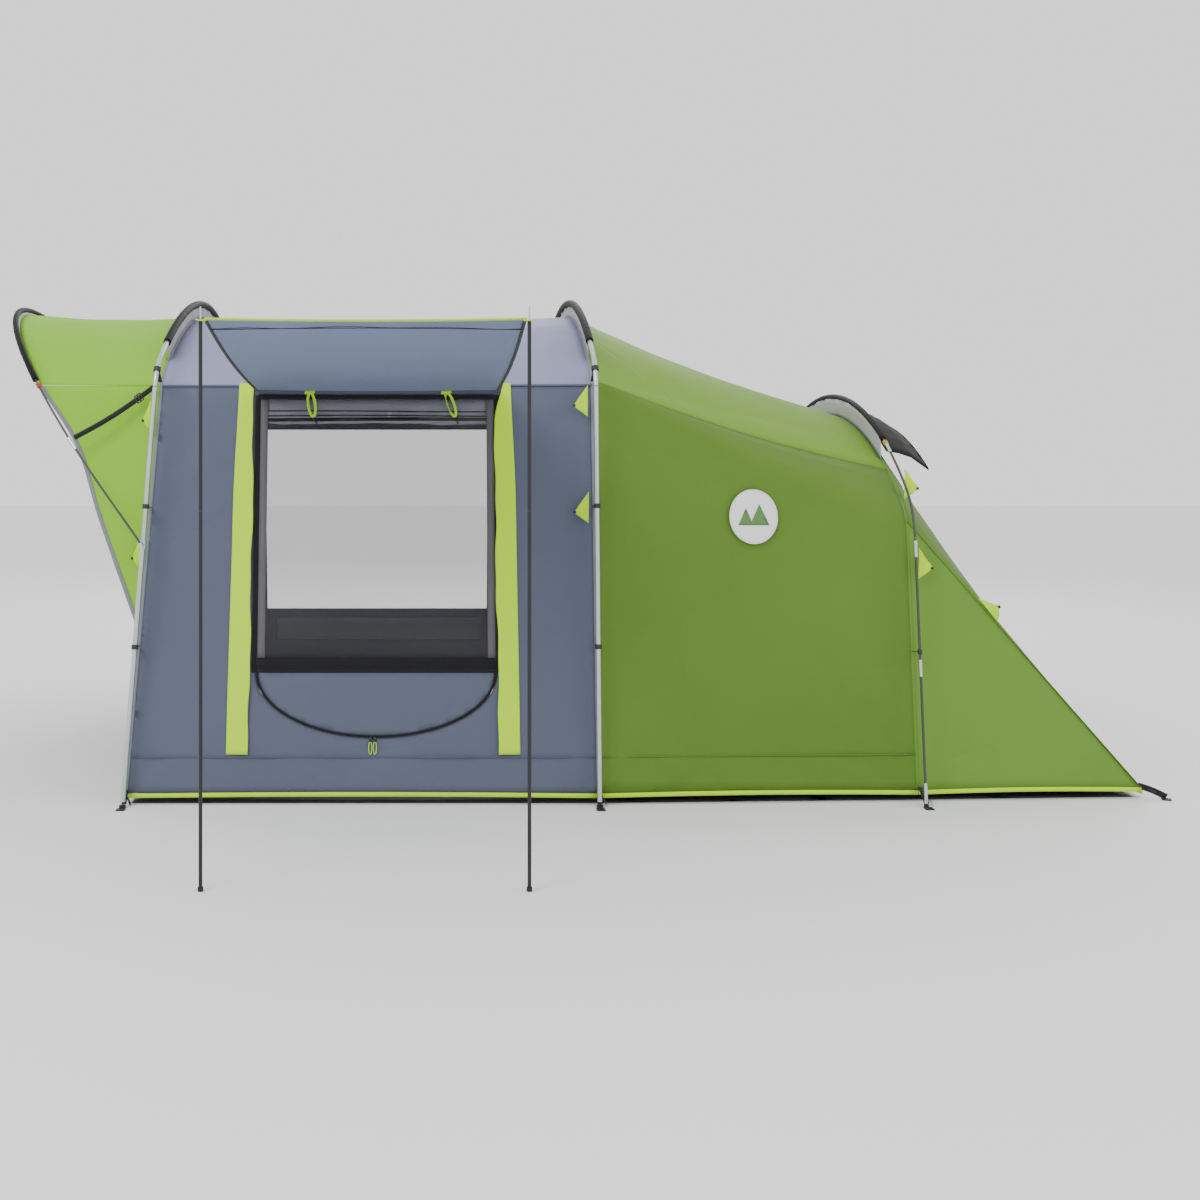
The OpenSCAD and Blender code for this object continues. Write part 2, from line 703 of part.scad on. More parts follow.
module awning_poles() {
    color("black")
    for (x = pole_x) {
        translate([x, pole_y, 13]) ring(6, 5, awning_pole_h / 3 - 14);
        translate([x, pole_y, awning_pole_h / 3]) ring(6, 5, awning_pole_h / 3 - 1);
        translate([x, pole_y, awning_pole_h * 2 / 3]) ring(6, 5, awning_pole_h / 3 - 1);
        translate([x, pole_y, 0]) cylinder(r = 9, h = 12.5);
    }
}

// Steel spikes on top of the poles, each through a tab of binding.
module awning_tips() {
    color("silver")
    for (x = pole_x) {
        translate([x, pole_y, awning_pole_h - 0.6]) cylinder(r = 5.8, h = 4);
        translate([x, pole_y, awning_pole_h]) cylinder(r = 2.5, h = 44);
    }
}

// ---- small parts ----
// Flaps that cover the door's side zips.
module storm_flaps() {
    color("lime")
    wall_plane()
    plate(cloth, 1) {
        polygon([[-1622, up_wall(1640)], [-1560, up_wall(1640)], [-1559, up_wall(1170)],
                 [-1562, up_wall(190)], [-1650, up_wall(190)], [-1638, up_wall(1170)]]);
        polygon([[-538, up_wall(1640)], [-569, up_wall(1640)], [-604, up_wall(1490)], [-606, up_wall(1170)],
                 [-595, up_wall(190)], [-512, up_wall(190)], [-521, up_wall(1170)]]);
    }
}

module door_toggles() {
    color("lime")
    wall_plane() {
        for (x = [-1318, -805])
            translate([x, up_wall(door_top) + 2, 1]) cube([9, 26, 3]);
    }
}

// Sewn triangles for guy ropes, with an eyelet at the tip.
module patch(s) {
    difference() {
        plate(2, -1) polygon([[0, 62], [0, -62], [-58 * s, -20]]);
        translate([-44 * s, -18, -5]) cylinder(r = 4, h = 10);
    }
}
module guy_patches() {
    color("lime")
    both_sides() {
        for (z = [1140, 1560])
            translate([mid_x - 24, 1245 - 0.076 * z - 14, z]) rotate([90, 0, 0]) patch(1);
        for (z = [960, 1500])
            translate([front_edge(z) - 20, 1245 - 0.076 * z - 14, z]) rotate([90, 0, 0]) patch(0.6);
        for (z = [920, 1230])
            translate([rear_x + (z < 1000 ? 24 : 11), z < 1000 ? 1137 : 1012, z]) rotate([90, 0, 0]) patch(-1);
        translate([1345, 1102, 733]) rotate([90, 0, 0]) rotate([0, 0, 40]) patch(-0.8);
    }
}

module badge() {
    color("white")
    translate([418, -1103, 1102])
    rotate([90 - 6.6, 0, 2.75])
    cylinder(r = 100, h = 2, center = true, $fn = 96);
}

front_arch_leg_near();
front_arch_leg_far();
front_arch_roof_pole();
front_arch_sleeve();
front_arch_fin();
mid_arch_leg_near();
mid_arch_leg_far();
mid_arch_roof_pole();
mid_arch_sleeve();
mid_arch_fin();
rear_arch_rods();
rear_arch_ferrules();
rear_arch_sleeve();
rear_arch_fin();
arch_feet();
pole_clips();
peg_tabs();
foot_straps();
hoop_hooks();
hoop_rods();
hoop_ferrules();
hoop_sleeve();
hoop_feet();
canopy_roof();
canopy_wing_near();
canopy_wing_far();
canopy_straps();
front_wall();
front_door();
living_wall_near();
living_wall_far();
living_roof();
far_window();
bedroom_wall_near();
bedroom_wall_far();
bedroom_roof();
rear_side_near();
rear_side_far();
rear_wall();
vent_hood();
vent_mesh();
hem_webbing();
groundsheet();
inner_front();
inner_door();
inner_canopy();
inner_tail();
inner_floor();
mesh_door_trim();
mesh_door_window();
mesh_door_panel();
mesh_door_curtain();
awning_panel();
awning_binding();
awning_poles();
awning_tips();
storm_flaps();
door_toggles();
guy_patches();
badge();
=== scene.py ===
"""Family tunnel tent on steel and fibreglass arches, with a raised door on two poles. Metres."""
import json
from math import asin, atan, atan2, cos, exp, hypot, pi, radians, sin, sqrt, tan

import bpy
from mathutils import Vector, noise
from mathutils.geometry import delaunay_2d_cdt
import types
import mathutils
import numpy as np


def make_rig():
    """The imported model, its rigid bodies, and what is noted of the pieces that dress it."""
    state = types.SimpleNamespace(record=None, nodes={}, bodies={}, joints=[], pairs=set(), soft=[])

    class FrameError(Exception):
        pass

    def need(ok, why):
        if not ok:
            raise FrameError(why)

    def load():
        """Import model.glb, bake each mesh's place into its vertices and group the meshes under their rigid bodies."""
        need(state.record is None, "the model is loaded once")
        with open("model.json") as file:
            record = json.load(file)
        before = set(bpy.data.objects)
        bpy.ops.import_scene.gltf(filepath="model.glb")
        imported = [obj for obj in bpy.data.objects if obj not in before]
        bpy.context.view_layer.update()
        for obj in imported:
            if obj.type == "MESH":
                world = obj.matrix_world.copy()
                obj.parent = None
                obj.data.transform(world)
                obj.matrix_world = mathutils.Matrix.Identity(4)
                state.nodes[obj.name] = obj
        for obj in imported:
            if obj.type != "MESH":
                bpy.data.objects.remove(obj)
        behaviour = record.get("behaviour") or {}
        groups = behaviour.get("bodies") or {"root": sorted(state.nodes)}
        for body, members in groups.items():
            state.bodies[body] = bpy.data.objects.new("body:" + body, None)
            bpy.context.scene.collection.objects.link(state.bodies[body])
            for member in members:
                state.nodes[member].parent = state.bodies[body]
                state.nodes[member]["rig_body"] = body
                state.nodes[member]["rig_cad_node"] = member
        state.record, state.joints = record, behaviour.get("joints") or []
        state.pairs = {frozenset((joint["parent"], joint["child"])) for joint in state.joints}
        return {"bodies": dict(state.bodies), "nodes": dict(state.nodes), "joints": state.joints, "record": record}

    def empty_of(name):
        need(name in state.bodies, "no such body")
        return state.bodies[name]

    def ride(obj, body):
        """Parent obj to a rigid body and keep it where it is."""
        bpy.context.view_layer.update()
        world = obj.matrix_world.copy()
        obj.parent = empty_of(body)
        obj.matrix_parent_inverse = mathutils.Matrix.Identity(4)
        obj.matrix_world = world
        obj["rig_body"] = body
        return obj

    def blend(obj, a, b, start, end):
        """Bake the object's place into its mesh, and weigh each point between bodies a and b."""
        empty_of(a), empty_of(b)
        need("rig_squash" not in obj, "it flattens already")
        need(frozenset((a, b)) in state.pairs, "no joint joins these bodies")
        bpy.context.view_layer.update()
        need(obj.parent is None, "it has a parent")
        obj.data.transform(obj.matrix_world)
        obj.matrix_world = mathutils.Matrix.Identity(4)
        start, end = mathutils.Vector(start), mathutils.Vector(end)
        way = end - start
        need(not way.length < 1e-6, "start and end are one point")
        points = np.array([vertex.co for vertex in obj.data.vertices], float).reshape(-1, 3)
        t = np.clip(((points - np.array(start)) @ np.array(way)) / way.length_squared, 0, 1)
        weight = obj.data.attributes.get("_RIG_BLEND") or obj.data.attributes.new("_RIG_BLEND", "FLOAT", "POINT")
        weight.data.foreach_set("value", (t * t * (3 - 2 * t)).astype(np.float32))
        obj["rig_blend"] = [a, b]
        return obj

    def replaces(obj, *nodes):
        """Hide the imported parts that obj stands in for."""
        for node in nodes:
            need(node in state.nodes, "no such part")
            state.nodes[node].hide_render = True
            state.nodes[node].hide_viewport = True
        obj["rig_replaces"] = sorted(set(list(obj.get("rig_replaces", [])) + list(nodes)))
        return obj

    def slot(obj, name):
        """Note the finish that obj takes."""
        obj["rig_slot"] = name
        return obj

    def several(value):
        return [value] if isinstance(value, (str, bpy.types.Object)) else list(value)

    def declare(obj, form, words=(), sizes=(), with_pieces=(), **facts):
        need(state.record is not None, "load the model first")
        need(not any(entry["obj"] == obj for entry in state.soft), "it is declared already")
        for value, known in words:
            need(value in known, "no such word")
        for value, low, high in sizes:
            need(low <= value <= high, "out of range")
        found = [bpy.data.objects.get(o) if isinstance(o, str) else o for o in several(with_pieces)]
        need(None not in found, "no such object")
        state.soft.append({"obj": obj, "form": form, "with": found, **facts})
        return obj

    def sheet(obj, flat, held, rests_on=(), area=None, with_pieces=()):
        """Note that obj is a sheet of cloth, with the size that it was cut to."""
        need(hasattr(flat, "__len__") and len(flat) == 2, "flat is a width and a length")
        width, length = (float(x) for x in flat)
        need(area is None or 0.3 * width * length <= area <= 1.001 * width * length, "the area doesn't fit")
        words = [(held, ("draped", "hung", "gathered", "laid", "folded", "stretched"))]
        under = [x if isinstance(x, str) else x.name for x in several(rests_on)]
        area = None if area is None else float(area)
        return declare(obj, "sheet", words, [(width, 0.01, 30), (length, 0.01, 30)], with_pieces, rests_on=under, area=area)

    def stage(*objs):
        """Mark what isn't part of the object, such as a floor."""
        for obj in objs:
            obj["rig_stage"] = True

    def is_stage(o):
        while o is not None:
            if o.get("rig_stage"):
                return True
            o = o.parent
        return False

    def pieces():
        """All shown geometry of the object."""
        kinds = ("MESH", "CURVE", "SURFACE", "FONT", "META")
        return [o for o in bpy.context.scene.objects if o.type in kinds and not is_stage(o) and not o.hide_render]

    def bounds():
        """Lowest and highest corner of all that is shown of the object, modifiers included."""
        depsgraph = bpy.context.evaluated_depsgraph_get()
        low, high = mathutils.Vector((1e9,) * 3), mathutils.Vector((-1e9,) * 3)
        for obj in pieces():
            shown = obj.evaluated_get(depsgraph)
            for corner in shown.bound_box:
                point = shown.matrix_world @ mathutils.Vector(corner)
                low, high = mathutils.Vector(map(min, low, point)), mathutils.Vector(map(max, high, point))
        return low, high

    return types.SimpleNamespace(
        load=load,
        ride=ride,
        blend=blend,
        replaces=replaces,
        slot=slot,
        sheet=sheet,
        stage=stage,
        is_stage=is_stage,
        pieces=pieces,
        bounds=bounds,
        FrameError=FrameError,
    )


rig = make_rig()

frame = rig.load()
cad_lo, cad_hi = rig.bounds()


def vec(*parts):
    return Vector(parts)


X_AXIS, Y_AXIS, Z_AXIS = vec(1, 0, 0), vec(0, 1, 0), vec(0, 0, 1)

# ---------------------------------------------------------------- dimensions
FRONT_X, MID_X, REAR_X = -2.035, -0.214, 1.035
TILT = radians(3.6)
HOOP_Z = 1.0
HOOP_LEAN = radians(36.7)
HOOP_X = FRONT_X + HOOP_Z * tan(TILT)
HEM = 0.045
TAIL_X, TAIL_W = 1.925, 1.150
WALL_LEAN = atan((1.255 - 1.050) / (1.650 - 0.020))
WALL_Y0 = 1.255 + 0.020 * tan(WALL_LEAN)
DOOR_X0, DOOR_X1, DOOR_TOP, SILL, DOOR_LOW = -1.540, -0.600, 1.588, 0.500, 0.251
DOOR_MID = (DOOR_X0 + DOOR_X1) / 2
HINGE_Z = DOOR_TOP + 0.014
HINGE_Y = -(WALL_Y0 - HINGE_Z * tan(WALL_LEAN)) - 0.017
AWNING_LEN, AWNING_RISE = 1.270, radians(7.5)
HINGE_HALF, OUTER_HALF = 0.484, 0.500  # half the awning's width at its hinge and its outer edge
POLE_SIDE, TAB_Z = 0.508, 1.7655  # awning poles from the door's middle, height of the tabs on their spikes
WINDOW_X, WINDOW_Z = (-1.750, -0.528), (0.489, 1.483)
WEB_Z, SKIRT_Z = 0.031, 0.180  # heights of the foot webbing and the skirt seam
FLAP_FRONT, FLAP_REAR = (-1.606, 0.050), (-0.558, 0.055)  # middle and half width of each zip flap
INNER_TAIL_X, INNER_TAIL_W = TAIL_X - 0.110, TAIL_W - 0.070
CLOTH, FINE, FILM = 0.0012, 0.0008, 0.0006  # thickness of cloth, netting and film
LENS_PIXELS, FRAME_PIXELS = 1412, 1200


class Arch:
    """A straight leg, an elbow and a roof arc, each tangent to the next. at(q) runs 0 to 6 across it."""

    def __init__(self, w, z0, lw, lz, h, r, f):
        p, c = vec(w, z0), vec(0, h - r)
        d = vec(lw - w, lz - z0).normalized()
        n = vec(-d.y, d.x)
        q = p + f * n - c
        t = -q.dot(d) + sqrt(q.dot(d) ** 2 - q.dot(q) + (r - f) ** 2)
        k = p + t * d + f * n
        self.p, self.d, self.t, self.k, self.f, self.c, self.r = p, d, t, k, f, c, r
        self.a0 = atan2(-n.y, -n.x)
        self.a1 = atan2(k.y - c.y, k.x - c.x)

    def at(self, q):
        if q > 3:
            m = self.at(6 - q)
            return vec(-m.x, m.y)
        if q <= 1:
            return self.p + self.d * self.t * q
        if q <= 2:
            a = self.a0 + (self.a1 - self.a0) * (q - 1)
            return self.k + self.f * vec(cos(a), sin(a))
        a = self.a1 + (pi / 2 - self.a1) * (q - 2)
        return self.c + self.r * vec(cos(a), sin(a))

    def leg(self, z):
        return (z - self.p.y) / (self.d.y * self.t)

    def height(self, z, q):
        """Place q, with the legs starting at height z instead of at the foot."""
        k = self.leg(z)
        return k + (1 - k) * q if q < 1 else 6 - k - (1 - k) * (6 - q) if q > 5 else q


STEEL = Arch(1.300, 0, 1.170, 1.709, 2.051, 2.080, 0.150)
REAR_ROD = Arch(1.290, 0, 1.170, 1.000, 1.620, 1.600, 0.300)
HOOP = Arch(1.250, 0, 1.180, 0.480, 1.275, 1.235, 0.420)
HOOP_CLOTH = Arch(1.222, 0, 1.152, 0.480, 1.248, 1.207, 0.395)
BODY = Arch(1.255, 0.020, 1.050, 1.650, 1.990, 1.791, 0.060)
REAR = Arch(1.200, 0.020, 1.085, 1.000, 1.530, 1.560, 0.220)
HOOD = Arch(1.225, 0.020, 1.112, 1.000, 1.570, 1.587, 0.240)
INNER = Arch(1.200, 0.020, 0.994, 1.650, 1.935, 1.736, 0.060)
INNER_REAR = Arch(1.145, 0.020, 1.030, 1.000, 1.475, 1.505, 0.220)


def in_front(p, dx=0.0):
    return vec(FRONT_X + dx + p.y * sin(TILT), p.x, p.y * cos(TILT))


def in_plane(p, x):
    return vec(x, p.x, p.y)


def in_hoop(p, out=0.0):
    s = vec(p.x, p.y)
    if out:
        s = s + s.normalized() * out
    return vec(HOOP_X - s.y * sin(HOOP_LEAN), s.x, HOOP_Z + s.y * cos(HOOP_LEAN))


def near_wall(x, z, out=0.0):
    """A point on the near wall's outer face at height z, moved outwards."""
    y = -(WALL_Y0 - z * tan(WALL_LEAN))
    return vec(x, y - out * cos(WALL_LEAN), z + out * sin(WALL_LEAN))


def flip(p):
    return vec(p.x, -p.y, p.z)


def same(p):
    return p


SIDES = (("near", -1, flip), ("far", 1, same))


def on_side(rows, sign):
    """Rows of points of the far side, or turned over to the near side."""
    return [[flip(p) for p in r] for r in rows][::-1] if sign < 0 else rows


def lerp(a, b, t):
    return a + (b - a) * t


def ease(t):
    t = max(0.0, min(1.0, t))
    return t * t * (3 - 2 * t)


def front_edge(z):
    return FRONT_X + z * tan(TILT)


# ---------------------------------------------------------------- camera, floor and light
scene = bpy.context.scene
cam = bpy.data.objects.new("camera", bpy.data.cameras.new("camera"))
scene.collection.objects.link(cam)
cam.location = (-0.900, -6.685, 1.350)
cam.rotation_euler = (pi / 2, 0, 0)
cam.data.sensor_width = 36.0
cam.data.lens = cam.data.sensor_width * LENS_PIXELS / FRAME_PIXELS
cam.data.shift_x = 0.150
cam.data.shift_y = -0.1217
cam.data.clip_end = 100
scene.camera = cam

world = bpy.data.worlds.new("studio")
scene.world = world
world.use_nodes = True
world.node_tree.nodes["Background"].inputs["Color"].default_value = (1.0, 1.0, 1.0, 1)
world.node_tree.nodes["Background"].inputs["Strength"].default_value = 1.32


def area_light(name, place, target, size, power):
    d = bpy.data.lights.new(name, "AREA")
    d.shape, d.size, d.energy = "DISK", size, power
    o = bpy.data.objects.new(name, d)
    scene.collection.objects.link(o)
    o.location = place
    o.rotation_euler = (Vector(target) - Vector(place)).to_track_quat("-Z", "Y").to_euler()


area_light("key", (-5.0, -6.5, 6.5), (-0.4, 0, 0.9), 4.0, 330)
area_light("fill", (5.5, -6.0, 4.0), (0.4, 0, 0.8), 5.0, 70)
area_light("back", (0.5, 7.0, 6.0), (0, 0, 1.2), 5.0, 260)


# ---------------------------------------------------------------- materials
def srgb(r, g, b):
    return tuple((c / 255 / 12.92) if c <= 10 else ((c / 255 + 0.055) / 1.055) ** 2.4
                 for c in (r, g, b)) + (1.0,)


class Tree:
    """A small helper round a material's nodes."""

    def __init__(self, name):
        self.mat = bpy.data.materials.new(name)
        self.mat.use_nodes = True
        self.nt = self.mat.node_tree
        self.bsdf = self.nt.nodes["Principled BSDF"]

    def node(self, kind, **inputs):
        n = self.nt.nodes.new(kind)
        for k, v in inputs.items():
            n.inputs[k.replace("_", " ")].default_value = v
        return n

    def link(self, a, b):
        self.nt.links.new(a, b)

    def put(self, socket, value):
        """Sets a socket of the surface shader to a number or colour, or links it to a node's output."""
        if isinstance(value, bpy.types.NodeSocket):
            self.link(value, self.bsdf.inputs[socket])
        else:
            self.bsdf.inputs[socket].default_value = value

    def coords(self, kind="UV"):
        return self.nt.nodes.new("ShaderNodeTexCoord").outputs[kind]

    def noise(self, vec, scale, detail=3.0, rough=0.55):
        n = self.node("ShaderNodeTexNoise", Scale=scale, Detail=detail, Roughness=rough)
        self.link(vec, n.inputs["Vector"])
        return n.outputs["Fac"]

    def wave(self, vec, scale, axis):
        n = self.node("ShaderNodeTexWave", Scale=scale, Distortion=0.0)
        n.bands_direction = axis
        self.link(vec, n.inputs["Vector"])
        return n.outputs["Fac"]

    def math(self, op, a, b):
        n = self.nt.nodes.new("ShaderNodeMath")
        n.operation = op
        for i, v in enumerate((a, b)):
            if isinstance(v, (int, float)):
                n.inputs[i].default_value = v
            else:
                self.link(v, n.inputs[i])
        return n.outputs[0]

    def ramp(self, fac, stops):
        n = self.nt.nodes.new("ShaderNodeValToRGB")
        e = n.color_ramp.elements
        while len(e) < len(stops):
            e.new(0.5)
        for s, (pos, col) in zip(e, stops):
            s.position, s.color = pos, col
        self.link(fac, n.inputs["Fac"])
        return n.outputs["Color"]

    def mix(self, fac, a, b, how="MIX"):
        n = self.nt.nodes.new("ShaderNodeMix")
        n.data_type, n.blend_type = "RGBA", how
        for i, v in ((0, fac), (6, a), (7, b)):
            if isinstance(v, (int, float, tuple)):
                n.inputs[i].default_value = v
            else:
                self.link(v, n.inputs[i])
        return n.outputs[2]

    def bump(self, height, strength, distance, below=None):
        n = self.node("ShaderNodeBump", Strength=strength, Distance=distance)
        self.link(height, n.inputs["Height"])
        if below is not None:
            self.link(below, n.inputs["Normal"])
        return n.outputs["Normal"]


THREAD = 0.314  # a wave texture of this scale has one band to the metre


def shade(col, k):
    return tuple(min(1.0, c * k) for c in col[:3]) + (1.0,)


def fabric(name, rgb, rough=0.62, vary=0.10, crease=0.35, sheen=0.03, rip=0.006):
    """Coated ripstop cloth: fine weave, ripstop grid, soft tone changes and packing creases."""
    t = Tree(name)
    base = srgb(*rgb)
    uv = t.coords()
    broad = t.noise(uv, 1.1, 4.0, 0.6)
    fine = t.noise(uv, 900.0, 2.0, 0.5)
    tone = t.ramp(broad, [(0.30, shade(base, 1 - vary)), (0.70, shade(base, 1 + vary * 0.7))])
    rips = t.math("MAXIMUM", t.wave(uv, THREAD / rip, "X"), t.wave(uv, THREAD / rip, "Y"))
    line = t.math("GREATER_THAN", rips, 0.96)
    t.put("Base Color", t.mix(t.math("MULTIPLY", line, 0.25), tone, shade(base, 0.86)))
    cells = t.node("ShaderNodeTexVoronoi", Scale=1.7)
    cells.feature = "DISTANCE_TO_EDGE"
    warp = t.node("ShaderNodeTexNoise", Scale=2.2, Detail=2.0)
    t.link(uv, warp.inputs["Vector"])
    moved = t.nt.nodes.new("ShaderNodeVectorMath")
    moved.operation = "MULTIPLY_ADD"
    moved.inputs[1].default_value = (0.25, 0.25, 0.25)
    t.link(warp.outputs["Color"], moved.inputs[0])
    t.link(uv, moved.inputs[2])
    t.link(moved.outputs[0], cells.inputs["Vector"])
    fold = t.ramp(cells.outputs["Distance"], [(0.0, (0, 0, 0, 1)), (0.035, (1, 1, 1, 1))])
    soft = t.noise(uv, 5.0, 3.0, 0.6)
    n1 = t.bump(soft, 0.30, 0.012)
    n2 = t.bump(fold, crease, 0.003, n1)
    n3 = t.bump(t.math("ADD", fine, rips), 0.12, 0.0004, n2)
    t.put("Normal", n3)
    t.put("Roughness", t.math("ADD", t.math("MULTIPLY", broad, 0.14), rough - 0.07))
    t.put("Sheen Weight", sheen)
    t.put("Sheen Roughness", 0.4)
    t.put("Specular IOR Level", 0.12)
    return t.mat


def tape(name, rgb, ribs=0.0022):
    """Woven tape with ribs across it and a row of stitches near each edge.

    UV: metres along, 0 to 1 across."""
    t = Tree(name)
    base = srgb(*rgb)
    uv = t.coords()
    sep = t.node("ShaderNodeSeparateXYZ")
    t.link(uv, sep.inputs[0])
    edge = t.math("ABSOLUTE", t.math("SUBTRACT", sep.outputs["Y"], 0.5), 0)
    near = t.math("LESS_THAN", t.math("ABSOLUTE", t.math("SUBTRACT", edge, 0.36), 0), 0.05)
    dash = t.math("GREATER_THAN", t.math("FRACT", t.math("MULTIPLY", sep.outputs["X"], 260.0), 0), 0.35)
    thread = t.math("MULTIPLY", near, dash)
    tone = t.ramp(t.noise(uv, 7.0, 3.0), [(0.3, shade(base, 0.90)), (0.7, shade(base, 1.08))])
    t.put("Base Color", t.mix(t.math("MULTIPLY", thread, 0.55), tone, shade(base, 1.25)))
    rib = t.wave(uv, THREAD / ribs, "X")
    n1 = t.bump(rib, 0.25, 0.0005)
    n2 = t.bump(thread, 0.5, 0.0008, n1)
    t.put("Normal", n2)
    t.put("Roughness", 0.75)
    t.put("Specular IOR Level", 0.15)
    t.put("Sheen Weight", 0.16)
    return t.mat


def netting(name, rgb, alpha, grain=0.3):
    """Fine mesh: threads with holes between them."""
    t = Tree(name)
    base = srgb(*rgb)
    uv = t.coords()
    threads = t.math("MAXIMUM", t.wave(uv, THREAD / 0.0022, "X"), t.wave(uv, THREAD / 0.0022, "Y"))
    tone = t.ramp(t.noise(uv, 3.0, 3.0), [(0.3, shade(base, 0.88)), (0.7, shade(base, 1.10))])
    t.put("Base Color", tone)
    if grain:
        t.put("Normal", t.bump(threads, grain, 0.0005))
    t.put("Roughness", 0.7)
    t.put("Alpha", alpha)
    return t.mat


def film(name, rgb, alpha, rough):
    """Flexible clear film with soft waves."""
    t = Tree(name)
    uv = t.coords()
    base = srgb(*rgb)
    tone = t.ramp(t.noise(uv, 1.5, 3.0), [(0.3, shade(base, 0.95)), (0.7, shade(base, 1.04))])
    t.put("Base Color", tone)
    t.put("Normal", t.bump(t.noise(uv, 4.0, 2.0), 0.35, 0.012))
    t.put("Roughness", rough)
    t.put("Alpha", alpha)
    return t.mat


def metal(name, rgb, rough, metallic=1.0, scratch=0.35, spots=0.10):
    """Drawn or coated tube: long faint scratches, dulled patches and small scuffs."""
    t = Tree(name)
    base = srgb(*rgb)
    obj = t.coords("Object")
    stretch = t.nt.nodes.new("ShaderNodeMapping")
    stretch.inputs["Scale"].default_value = (260.0, 260.0, 5.0)
    t.link(obj, stretch.inputs["Vector"])
    lines = t.noise(stretch.outputs["Vector"], 1.0, 4.0, 0.7)
    dull = t.noise(obj, 9.0, 4.0, 0.6)
    tone = t.ramp(dull, [(0.25, shade(base, 1 - spots)), (0.75, shade(base, 1 + spots * 0.6))])
    t.put("Base Color", t.mix(t.math("MULTIPLY", lines, scratch * 0.3), tone, shade(base, 0.6)))
    t.put("Roughness", t.math("ADD", t.math("MULTIPLY", dull, 0.22), rough - 0.09))
    t.put("Normal", t.bump(lines, 0.08, 0.0003))
    t.put("Metallic", metallic)
    return t.mat


def plastic(name, rgb, rough=0.5, grain=0.25):
    """Moulded plastic with a fine spark-eroded grain and worn tones."""
    t = Tree(name)
    base = srgb(*rgb)
    obj = t.coords("Object")
    wear = t.noise(obj, 22.0, 5.0, 0.65)
    t.put("Base Color", t.ramp(wear, [(0.3, shade(base, 0.8)), (0.72, shade(base, 1.5))]))
    t.put("Normal", t.bump(t.noise(obj, 1400.0, 2.0), grain, 0.0002))
    t.put("Roughness", t.math("ADD", t.math("MULTIPLY", wear, 0.2), rough - 0.1))
    return t.mat


M = {
    "canopy": fabric("canopy_green", (129, 184, 46), vary=0.07),
    "roof": fabric("roof_green", (112, 151, 52), vary=0.07),
    "wall": fabric("wall_green", (90, 122, 46), vary=0.08),
    "tail": fabric("tail_green", (100, 139, 54), vary=0.08),
    "grey": fabric("wall_grey", (86, 92, 109), vary=0.07),
    "roof_grey": fabric("roof_grey", (137, 140, 168), vary=0.06),
    "awning": fabric("awning_cloth", (121, 131, 162), vary=0.06),
    "hood": fabric("hood_cloth", (27, 30, 25), vary=0.10),
    "inner": fabric("inner_cloth", (150, 150, 152), vary=0.06, rip=0.004),
    "inner_grey": fabric("curtain_cloth", (146, 147, 158), vary=0.06, rip=0.003),
    "floor": fabric("ground_sheet", (70, 70, 76), rough=0.5, vary=0.12, crease=0.5, rip=0.003),
    "lime": fabric("lime_cloth", (184, 230, 22), vary=0.05, crease=0.2),
    "lime_tape": tape("lime_tape", (184, 230, 28)),
    "edge_tape": tape("edge_tape", (92, 91, 95)),
    "dark_tape": tape("dark_tape", (22, 22, 24)),
    "grey_tape": tape("grey_tape", (120, 124, 132)),
    "web": tape("black_webbing", (34, 34, 37), ribs=0.0016),
    "sleeve": fabric("sleeve_cloth", (21, 20, 20), vary=0.12, crease=0.15, rip=0.003),
    "fin": netting("fin_mesh", (176, 178, 180), 0.85),
    "mesh": netting("door_mesh", (96, 97, 102), 0.14, grain=0.0),
    "dark_mesh": netting("vent_mesh", (38, 40, 38), 0.92),
    "film": film("window_film", (240, 240, 243), 0.14, 0.35),
    "steel": metal("steel_tube", (196, 202, 204), 0.36),
    "alloy": metal("alloy", (205, 208, 210), 0.30),
    "rod": metal("fibreglass_rod", (58, 62, 58), 0.42, metallic=0.0, spots=0.2),
    "black": metal("black_coat", (30, 30, 33), 0.40, metallic=0.2, spots=0.2),
    "plastic": plastic("black_plastic", (30, 30, 31)),
    "white": fabric("patch_white", (226, 228, 226), vary=0.03, crease=0.0, rip=0.002),
    "motif": fabric("patch_motif", (92, 128, 78), vary=0.04, crease=0.0, rip=0.002),
    "orange": tape("orange_elastic", (206, 88, 44)),
    "yellow": tape("yellow_elastic", (206, 178, 62)),
}
# The record's slot for each look.
SLOT = {
    "canopy": "canopy_green", "roof": "roof_green", "wall": "wall_green", "tail": "tail_green",
    "grey": "wall_grey", "roof_grey": "roof_grey", "awning": "awning_cloth", "hood": "hood_cloth",
    "inner": "inner_cloth", "inner_grey": "mesh", "floor": "ground_sheet", "lime": "lime_trim",
    "lime_tape": "lime_trim", "dark_tape": "door_trim", "edge_tape": "wall_grey",
    "grey_tape": "wall_grey", "web": "black_webbing", "sleeve": "sleeve_cloth", "fin": "fin_mesh",
    "mesh": "mesh", "dark_mesh": "mesh", "film": "window_film", "steel": "steel",
    "alloy": "ferrule", "rod": "fibreglass", "black": "black_steel", "plastic": "black_plastic",
    "white": "patch_white", "motif": "wall_green", "orange": "lime_trim", "yellow": "lime_trim",
}

